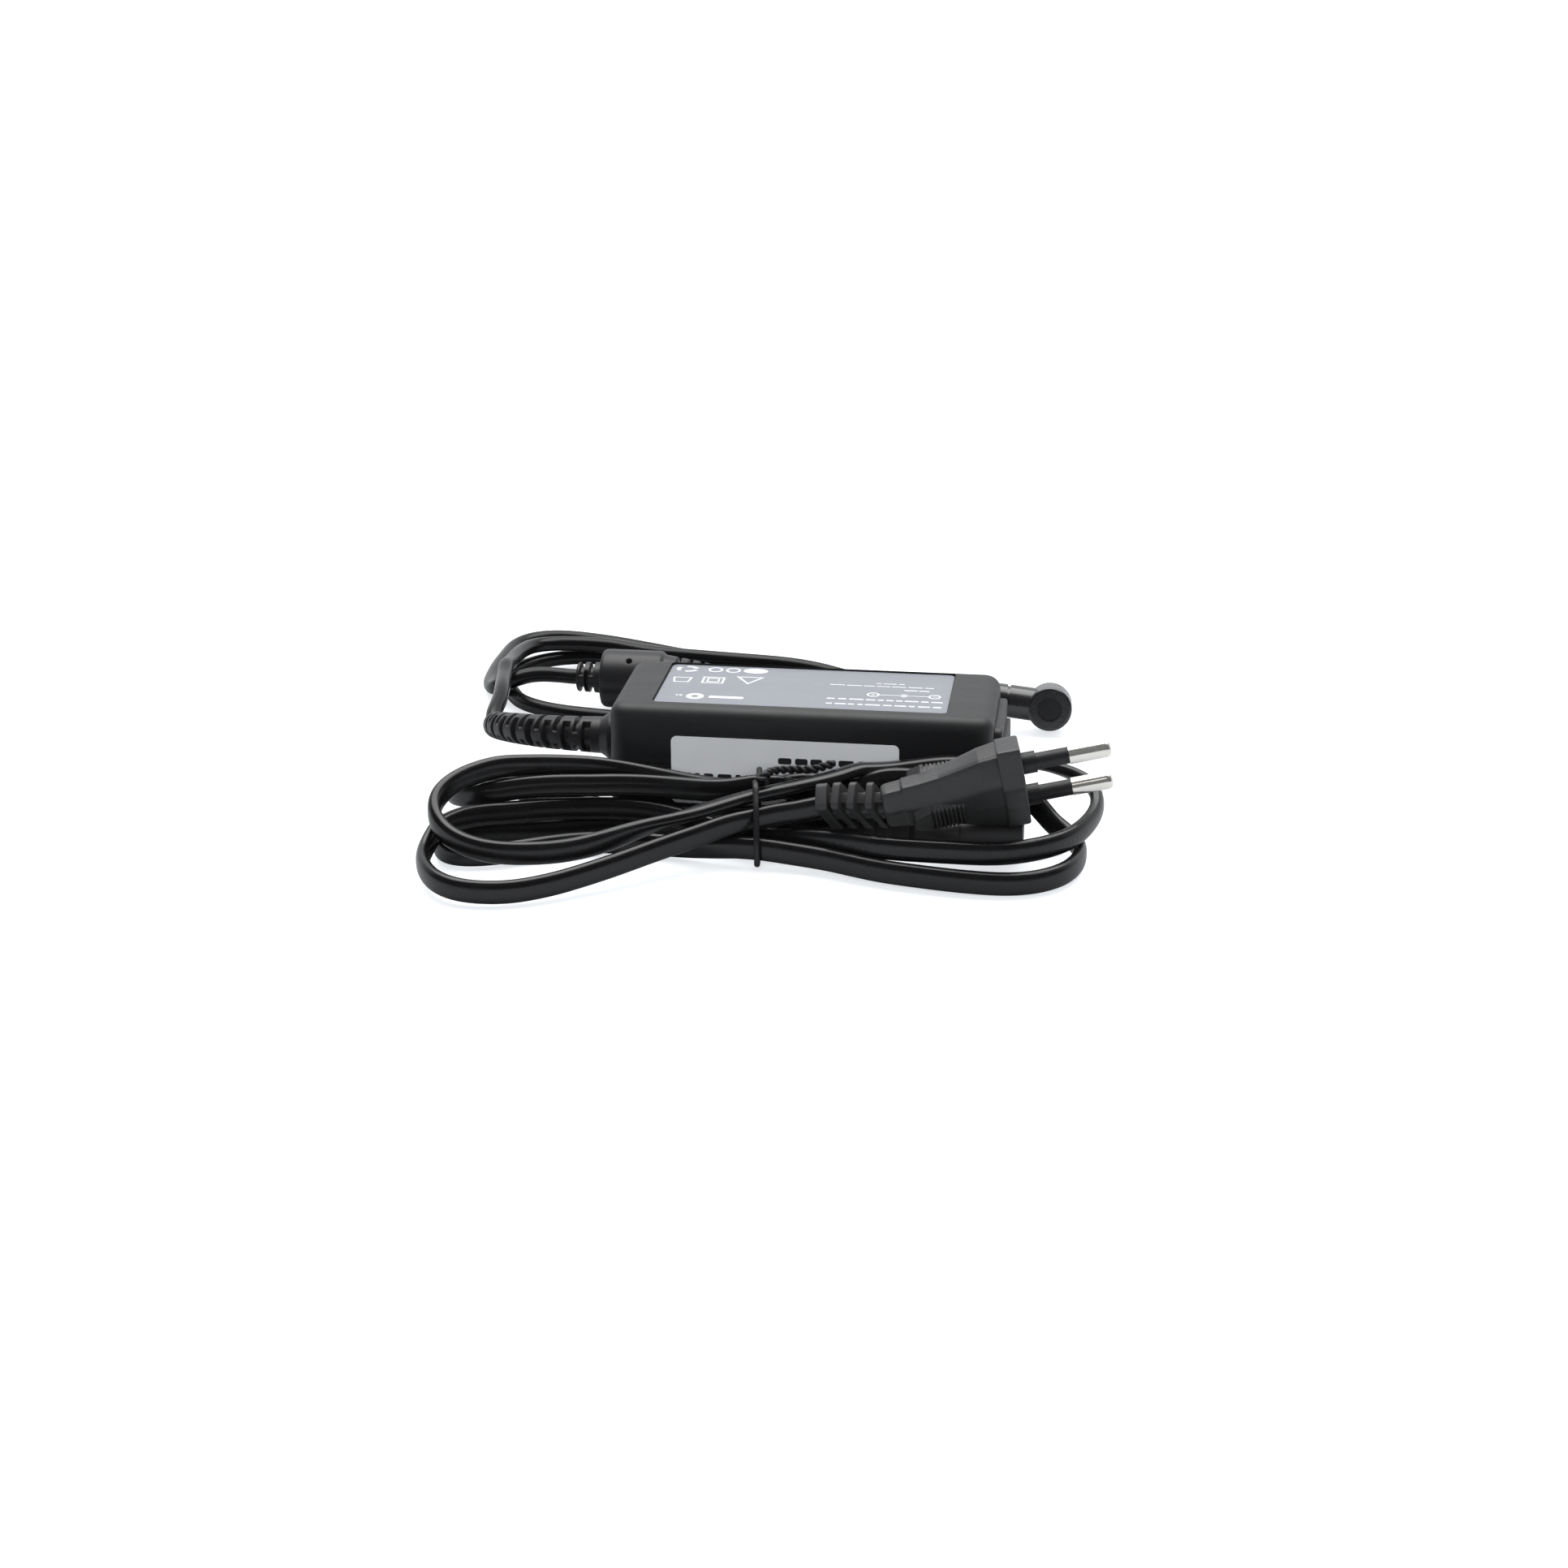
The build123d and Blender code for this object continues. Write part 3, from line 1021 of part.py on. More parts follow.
def mains_connector_body():
    centre = (CONN_Y, CONN_Z)
    nose_x = 37.0
    # grip: x, width, height, corner radius
    grip = [(37.5, 14.6, 7.7, 2.6), (33.0, 14.2, 7.7, 2.6), (27.5, 9.4, 7.0, 2.0)]
    with BuildPart() as body:
        with BuildSketch(Plane.YZ.offset(nose_x)):
            with Locations(centre):
                with Locations((-2.9, 0), (2.9, 0)):
                    Circle(3.85)
                Rectangle(5.8, 6.2)
        extrude(amount=CONN_END - nose_x)
        for x, width, height, corner_r in grip:
            with BuildSketch(Plane.YZ.offset(x)):
                with Locations(centre):
                    RectangleRounded(width, height, corner_r)
        loft()
        # strain relief with three ribs
        with BuildSketch(Plane.YZ.offset(16.3)):
            with Locations(centre):
                RectangleRounded(5.6, 6.4, 1.4)
        extrude(amount=11.7)
        for k in range(3):
            with BuildSketch(Plane.YZ.offset(16.8 + 3.8 * k)):
                with Locations(centre):
                    RectangleRounded(7.2 + 0.6 * k, 6.8, 1.8)
            extrude(amount=1.9)
        with BuildSketch(Plane.YZ.offset(16.0)):
            with Locations(centre):
                SlotOverall(CABLE_W + 0.2, CABLE_T + 0.2, rotation=90)
        extrude(amount=5.1, mode=Mode.SUBTRACT)
        # contact chambers, with narrower mouths
        with BuildSketch(Plane.YZ.offset(38.0)):
            with Locations(*CONN_POLES):
                Circle(1.75)
        extrude(amount=12.6, mode=Mode.SUBTRACT)
        with BuildSketch(Plane.YZ.offset(50.0)):
            with Locations(*CONN_POLES):
                Circle(1.35)
        extrude(amount=2, mode=Mode.SUBTRACT)
    return body.part


def mains_connector_contacts():
    return tubes(Plane.YZ.offset(38.05), CONN_POLES, 1.7, 1.24, 12.4)


def cable_tie():
    """A loop of coated wire round the coil, its ends twisted together over the top."""
    with BuildPart() as tie:
        for point, tangent in zip(TIE_LOOP, tangents(TIE_LOOP)):
            with BuildSketch(Plane(origin=point, x_dir=(1, 0.05, 0), z_dir=tangent)):
                Circle(TIE_R)
        loft(ruled=True)
        for point, tangent in zip(TIE_TAIL, tangents(TIE_TAIL)):
            with BuildSketch(Plane(origin=point, x_dir=(0, 0, 1), z_dir=tangent)):
                Circle(TWIST_R)
        loft(ruled=True)
    return tie.part


# =================================================================== write every piece
PIECES = [
    bottom_shell, top_shell, rating_label, side_sticker,
    inlet_housing, inlet_pins, inlet_leads,
    circuit_board, fuse, thermistor, x_capacitor, choke_core, choke_windings,
    bridge_rectifier, bulk_capacitor, primary_heatsink, switching_transistor,
    transformer_core, transformer_bobbin, transformer_winding, thermal_pad,
    y_capacitor, optocoupler, control_chip, output_choke, output_capacitors,
    secondary_heatsink, output_rectifier, heatsink_screws,
    heat_spreader_lower, insulation_sheet, heat_spreader_upper,
    dc_leads, dc_cable, dc_strain_relief, ferrite_overmould, ferrite_core,
    dc_plug_body, dc_plug_insert, dc_plug_barrel, dc_plug_insulator, dc_plug_contact, dc_plug_cap,
    mains_cable, wall_plug_body, wall_plug_carrier, wall_plug_pins, wall_plug_sleeves,
    mains_connector_body, mains_connector_contacts, cable_tie,
]
for build in PIECES:
    piece = build()
    piece.label = build.__name__
    export_step(piece, f"parts/{piece.label}.step")
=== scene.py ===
"""The looks of a laptop power adapter: casing, inlet, both leads, wall plug, connector and tie.

Everything lies on the floor at z = 0. The casing runs along X, its label faces up (+Z), its
sticker faces the front (-Y), and the round lead leaves its left end (-X). The wall plug and the
mains lead lie in front and to the right. Shapes are in millimetres; stage and camera in metres.
"""

import json
import math

import bmesh
import bpy
import numpy as np
from mathutils import Matrix, Vector


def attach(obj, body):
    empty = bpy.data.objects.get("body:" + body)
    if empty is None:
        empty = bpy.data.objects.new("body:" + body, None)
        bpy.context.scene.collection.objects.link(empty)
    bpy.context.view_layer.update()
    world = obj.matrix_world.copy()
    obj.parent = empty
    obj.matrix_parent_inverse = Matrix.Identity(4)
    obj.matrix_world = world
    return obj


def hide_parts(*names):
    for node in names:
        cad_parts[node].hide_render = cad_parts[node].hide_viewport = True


MM = 0.001

bpy.ops.wm.read_factory_settings(use_empty=True)
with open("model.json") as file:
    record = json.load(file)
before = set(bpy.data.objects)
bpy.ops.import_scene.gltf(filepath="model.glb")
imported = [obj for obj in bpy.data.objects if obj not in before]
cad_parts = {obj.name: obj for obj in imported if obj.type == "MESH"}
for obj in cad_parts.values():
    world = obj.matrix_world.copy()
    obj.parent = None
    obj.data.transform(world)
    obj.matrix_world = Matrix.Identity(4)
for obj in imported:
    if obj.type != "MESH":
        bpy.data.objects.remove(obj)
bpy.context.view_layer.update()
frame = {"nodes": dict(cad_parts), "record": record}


# ------------------------------------------------------------------ centrelines
def points(text):
    """A table of x y z points, separated by commas."""
    return np.array(text.replace(",", " ").split(), float).reshape(-1, 3)


# Mains lead, from behind the plug's ribs to the connector: x y z
MAINS = points("""
6.90 -38.20 12.55, 4.47 -38.25 11.94, 2.05 -38.30 11.34, 0.01 -38.43 10.98, -2.03 -38.75 10.68,
-4.11 -39.29 10.34, -6.24 -40.02 10.00, -8.40 -40.89 9.72, -10.54 -41.88 9.50, -12.63 -43.00 9.22,
-14.65 -44.22 8.85, -16.64 -45.53 8.45, -18.63 -46.87 8.05, -20.63 -48.23 7.69, -22.63 -49.63 7.34,
-24.60 -51.06 7.00, -26.56 -52.52 6.64, -28.50 -54.00 6.29, -30.43 -55.49 5.93, -32.38 -56.97 5.57,
-34.34 -58.45 5.22, -36.34 -59.90 4.88, -38.37 -61.32 4.55, -40.43 -62.71 4.23, -42.49 -64.09 3.93,
-44.58 -65.43 3.65, -46.70 -66.71 3.42, -48.87 -67.92 3.22, -51.09 -69.04 3.07, -53.37 -70.03 2.96,
-55.71 -70.83 2.92, -58.10 -71.42 2.94, -60.53 -71.75 3.00, -62.94 -71.77 3.08, -65.28 -71.42 3.17,
-67.50 -70.69 3.29, -69.52 -69.57 3.42, -71.30 -68.13 3.57, -72.82 -66.42 3.74, -74.11 -64.54 3.91,
-75.18 -62.53 4.09, -76.01 -60.43 4.31, -76.54 -58.26 4.60, -76.72 -56.07 5.04, -76.58 -53.91 5.70,
-76.19 -51.83 6.56, -75.55 -49.80 7.49, -74.43 -47.74 7.94, -72.97 -45.82 8.26, -71.17 -44.13 8.49,
-69.11 -42.70 8.62, -66.89 -41.50 8.62, -64.60 -40.46 8.53, -62.29 -39.45 8.43, -59.97 -38.41 8.37,
-57.65 -37.38 8.33, -55.32 -36.41 8.29, -52.97 -35.50 8.22, -50.60 -34.69 8.14, -48.20 -33.98 8.05,
-45.79 -33.37 7.97, -43.35 -32.87 7.91, -40.90 -32.46 7.86, -38.44 -32.16 7.79, -35.97 -31.96 7.69,
-33.52 -31.87 7.52, -31.07 -31.88 7.27, -28.64 -31.99 6.95, -26.23 -32.19 6.55, -23.83 -32.47 6.12,
-21.44 -32.83 5.66, -19.06 -33.25 5.22, -16.68 -33.73 4.83, -14.31 -34.26 4.50, -11.93 -34.82 4.28,
-9.56 -35.42 4.17, -7.18 -36.05 4.16, -4.82 -36.69 4.22, -2.47 -37.35 4.41, -0.15 -38.05 4.73,
2.15 -38.81 5.11, 4.41 -39.65 5.49, 6.63 -40.58 5.86, 8.82 -41.57 6.19, 11.00 -42.61 6.49,
13.18 -43.64 6.77, 15.39 -44.65 7.02, 17.63 -45.65 7.24, 19.91 -46.58 7.42, 22.26 -47.38 7.60,
24.69 -48.02 7.76, 27.17 -48.51 7.89, 29.66 -48.87 8.00, 32.17 -49.11 8.07, 34.68 -49.25 8.10,
37.19 -49.27 8.10, 39.69 -49.19 8.06, 42.18 -48.98 7.99, 44.65 -48.61 7.92, 47.08 -48.06 7.87,
49.44 -47.31 7.86, 51.71 -46.34 7.89, 53.88 -45.18 7.93, 55.93 -43.82 7.96, 57.83 -42.28 8.00,
59.58 -40.57 8.06, 61.14 -38.70 8.15, 62.50 -36.69 8.29, 63.69 -34.56 8.48, 64.70 -32.35 8.68,
65.58 -30.08 8.97, 66.33 -27.79 9.38, 66.90 -25.49 9.96, 67.14 -23.21 10.76, 66.91 -21.02 11.74,
66.04 -19.05 12.79, 64.51 -17.46 13.74, 62.50 -16.33 14.53, 60.25 -15.65 15.23, 57.92 -15.39 15.91,
55.62 -15.53 16.57, 53.41 -16.09 17.11, 51.35 -17.00 17.49, 49.39 -18.13 17.76, 47.44 -19.29 17.99,
45.41 -20.32 18.19, 43.23 -21.04 18.37, 40.97 -21.42 18.51, 38.67 -21.55 18.60, 36.35 -21.54 18.60,
34.00 -21.47 18.47, 31.64 -21.44 18.20, 29.25 -21.47 17.83, 26.85 -21.57 17.42, 24.44 -21.78 17.04,
22.01 -22.13 16.74, 19.56 -22.64 16.61, 17.13 -23.40 16.69, 14.78 -24.56 16.90, 12.62 -26.22 16.79,
10.56 -27.94 16.52, 8.39 -29.46 16.20, 6.14 -30.76 15.91, 3.82 -31.83 15.58, 1.46 -32.77 15.23,
-0.89 -33.63 14.89, -3.23 -34.48 14.56, -5.53 -35.37 14.23, -7.78 -36.34 13.89, -9.96 -37.40 13.53,
-12.09 -38.53 13.15, -14.20 -39.73 12.77, -16.29 -40.96 12.40, -18.38 -42.22 12.05, -20.49 -43.48 11.70,
-22.60 -44.76 11.37, -24.72 -46.06 11.04, -26.82 -47.38 10.72, -28.89 -48.73 10.40, -30.93 -50.13 10.08,
-32.93 -51.56 9.74, -34.91 -53.00 9.38, -36.90 -54.41 9.04, -38.96 -55.77 8.74, -41.09 -57.04 8.48,
-43.29 -58.19 8.27, -45.56 -59.21 8.13, -47.90 -60.07 8.05, -50.30 -60.75 8.01, -52.74 -61.25 7.99,
-55.21 -61.53 7.97, -57.68 -61.58 7.97, -60.11 -61.36 8.00, -62.48 -60.85 8.09, -64.75 -60.08 8.25,
-66.93 -59.10 8.48, -69.01 -57.95 8.83, -70.98 -56.67 9.36, -72.78 -55.25 10.13, -74.29 -53.65 11.18,
-75.28 -51.79 12.43, -75.55 -49.70 13.72, -75.05 -47.55 14.93, -73.93 -45.48 15.95, -72.45 -43.52 16.72,
-70.73 -41.69 17.28, -68.86 -39.99 17.67, -66.87 -38.39 17.93, -64.78 -36.91 18.05, -62.59 -35.60 17.96,
-60.34 -34.47 17.77, -58.04 -33.46 17.55, -55.73 -32.52 17.34, -53.41 -31.63 17.11, -51.09 -30.79 16.86,
-48.77 -29.97 16.57, -46.44 -29.20 16.25, -44.11 -28.47 15.87, -41.77 -27.80 15.42, -39.42 -27.18 14.91,
-37.06 -26.61 14.37, -34.70 -26.09 13.81, -32.34 -25.61 13.24, -29.97 -25.19 12.67, -27.60 -24.81 12.13,
-25.21 -24.48 11.63, -22.81 -24.20 11.18, -20.40 -23.98 10.79, -17.98 -23.83 10.47, -15.54 -23.73 10.24,
-13.09 -23.71 10.14, -10.65 -23.76 10.19, -8.23 -23.87 10.44, -5.83 -24.05 10.90, -3.47 -24.28 11.53,
-1.14 -24.55 12.25, 1.22 -24.86 12.89, 3.66 -25.18 13.18, 6.15 -25.46 12.96, 8.63 -25.68 12.50,
11.14 -26.03 12.30, 13.59 -26.55 12.56, 15.88 -27.14 13.47, 18.05 -27.49 14.92, 20.56 -27.51 15.80,
23.19 -27.24 16.04, 25.83 -26.77 15.91, 28.44 -26.15 15.59, 31.02 -25.45 15.19, 33.59 -24.72 14.76,
36.16 -23.99 14.33, 38.73 -23.31 13.89, 41.32 -22.72 13.44, 43.93 -22.27 12.96, 46.54 -22.00 12.42,
49.11 -21.95 11.75, 51.58 -22.18 10.88, 53.81 -22.73 9.70, 55.52 -23.56 8.15, 57.16 -24.56 6.67,
58.94 -25.70 5.53, 60.73 -27.05 4.71, 62.27 -28.72 4.12, 63.31 -30.72 3.67, 63.83 -32.95 3.32,
63.90 -35.29 3.11, 63.64 -37.64 3.02, 63.12 -39.97 2.97, 62.35 -42.22 2.94, 61.29 -44.36 2.90,
59.92 -46.32 2.86, 58.25 -48.05 2.81, 56.33 -49.52 2.75, 54.21 -50.71 2.71, 51.92 -51.60 2.68,
49.53 -52.22 2.70, 47.08 -52.60 2.75, 44.60 -52.77 2.81, 42.12 -52.78 2.88, 39.64 -52.67 2.93,
37.17 -52.46 2.98, 34.71 -52.16 3.02, 32.27 -51.80 3.06, 29.83 -51.40 3.10, 27.40 -50.94 3.12,
24.99 -50.43 3.14, 22.60 -49.85 3.16, 20.27 -49.19 3.20, 17.97 -48.45 3.27, 15.69 -47.65 3.34,
13.42 -46.82 3.41, 11.14 -45.98 3.47, 8.83 -45.22 3.51, 6.49 -44.55 3.54, 4.12 -44.01 3.60,
1.73 -43.58 3.69, -0.67 -43.26 3.84, -3.09 -43.04 4.00, -5.54 -42.87 4.15, -8.01 -42.70 4.16,
-10.51 -42.48 4.11, -13.01 -42.19 3.88, -15.51 -41.85 3.62, -17.99 -41.46 3.38, -20.45 -41.05 3.15,
-22.89 -40.62 2.96, -25.33 -40.21 2.82, -27.77 -39.84 2.73, -30.23 -39.55 2.69, -32.69 -39.36 2.66,
-35.16 -39.30 2.66, -37.62 -39.39 2.67, -40.07 -39.66 2.67, -42.50 -40.10 2.68, -44.88 -40.73 2.69,
-47.22 -41.53 2.70, -49.49 -42.49 2.70, -51.71 -43.58 2.71, -53.87 -44.77 2.71, -56.01 -46.01 2.72,
-58.15 -47.26 2.73, -60.32 -48.45 2.74, -62.55 -49.52 2.75, -64.85 -50.37 2.74, -67.23 -50.93 2.72,
-69.64 -51.06 2.68, -71.95 -50.62 2.66, -73.92 -49.49 2.66, -75.42 -47.74 2.66, -76.04 -45.65 2.66,
-75.63 -43.48 2.67, -74.33 -41.58 2.66, -72.42 -40.07 2.66, -70.19 -38.91 2.66, -67.84 -38.00 2.66,
-65.43 -37.26 2.66, -63.01 -36.62 2.66, -60.57 -36.03 2.66, -58.14 -35.44 2.66, -55.72 -34.83 2.66,
-53.32 -34.19 2.66, -50.96 -33.50 2.68, -48.63 -32.77 2.73, -46.36 -32.04 2.82, -44.13 -31.33 2.89,
-41.95 -30.69 2.91, -39.79 -30.13 2.88, -37.64 -29.64 2.83, -35.47 -29.24 2.78, -33.28 -28.93 2.74,
-31.09 -28.71 2.71, -28.89 -28.58 2.70, -26.69 -28.53 2.71, -24.49 -28.54 2.76, -22.29 -28.61 2.84,
-20.09 -28.71 2.98, -17.91 -28.81 3.19, -15.73 -28.90 3.47, -13.57 -28.95 3.83, -11.42 -28.94 4.27,
-9.29 -28.84 4.78, -7.19 -28.64 5.35, -5.11 -28.32 5.96, -3.06 -27.86 6.55, -1.04 -27.25 7.10,
0.93 -26.47 7.54, 2.84 -25.52 7.85, 4.62 -24.36 7.98, 6.34 -23.26 8.30, 8.10 -22.43 8.85,
9.94 -21.88 9.42, 11.85 -21.61 9.91, 13.79 -21.66 10.27, 15.70 -22.06 10.50, 17.48 -22.81 10.59,
19.02 -23.94 10.59, 20.15 -25.42 10.51, 20.61 -27.14 10.43, 20.07 -28.83 10.43, 18.64 -29.89 10.48,
16.82 -30.28 10.58, 14.87 -30.06 10.74, 12.89 -29.72 10.88, 10.91 -29.29 11.03, 8.91 -28.96 11.19,
6.90 -28.71 11.37, 4.89 -28.53 11.64, 2.91 -28.41 12.05, 0.94 -28.29 12.50, -1.04 -28.19 12.90,
-3.04 -28.15 13.22, -5.09 -28.22 13.41, -7.21 -28.44 13.41, -9.38 -28.79 13.23, -11.58 -29.23 12.93,
-13.82 -29.67 12.65, -16.14 -30.04 12.52, -18.53 -30.32 12.52, -20.95 -30.53 12.61, -23.38 -30.68 12.74,
-25.81 -30.79 12.89, -28.24 -30.89 13.03, -30.69 -31.02 13.14, -33.13 -31.19 13.24, -35.58 -31.43 13.30,
-38.03 -31.74 13.34, -40.47 -32.14 13.36, -42.90 -32.60 13.37, -45.32 -33.11 13.43, -47.74 -33.65 13.51,
-50.15 -34.23 13.59, -52.54 -34.87 13.64, -54.93 -35.55 13.65, -57.30 -36.25 13.60, -59.67 -36.93 13.47,
-62.03 -37.55 13.22, -64.41 -38.07 12.86, -66.79 -38.38 12.47, -69.09 -38.35 12.00, -71.23 -37.84 11.49,
-73.11 -36.80 11.03, -74.68 -35.33 10.65, -75.91 -33.55 10.35, -76.76 -31.54 10.10, -77.22 -29.40 9.87,
-77.30 -27.21 9.63, -76.99 -25.04 9.34, -76.31 -22.96 8.96, -75.31 -21.05 8.48, -74.01 -19.34 7.90,
-72.45 -17.88 7.23, -70.69 -16.69 6.52, -68.75 -15.79 5.81, -66.69 -15.17 5.15, -64.54 -14.82 4.55,
-62.33 -14.73 4.05, -60.09 -14.87 3.65, -57.85 -15.22 3.34, -55.63 -15.74 3.11, -53.43 -16.39 2.94,
-51.25 -17.14 2.83, -49.09 -17.95 2.76, -46.92 -18.78 2.72, -44.74 -19.57 2.69, -42.52 -20.29 2.67,
-40.28 -20.94 2.67, -38.01 -21.52 2.66, -35.73 -22.05 2.66, -33.42 -22.50 2.67, -31.11 -22.89 2.69,
-28.78 -23.21 2.73, -26.44 -23.47 2.80, -24.09 -23.65 2.92, -21.74 -23.77 3.08, -19.39 -23.82 3.28,
-17.04 -23.82 3.51, -14.68 -23.77 3.76, -12.33 -23.71 3.99, -9.97 -23.64 4.18, -7.61 -23.60 4.27,
-5.25 -23.61 4.20, -2.90 -23.71 3.93, -0.59 -23.93 3.37, 1.70 -24.31 2.84, 4.05 -24.89 2.66,
6.38 -25.55 2.69, 8.72 -26.13 2.91, 11.08 -26.50 3.32, 13.51 -26.50 3.92, 16.00 -26.50 4.10""")

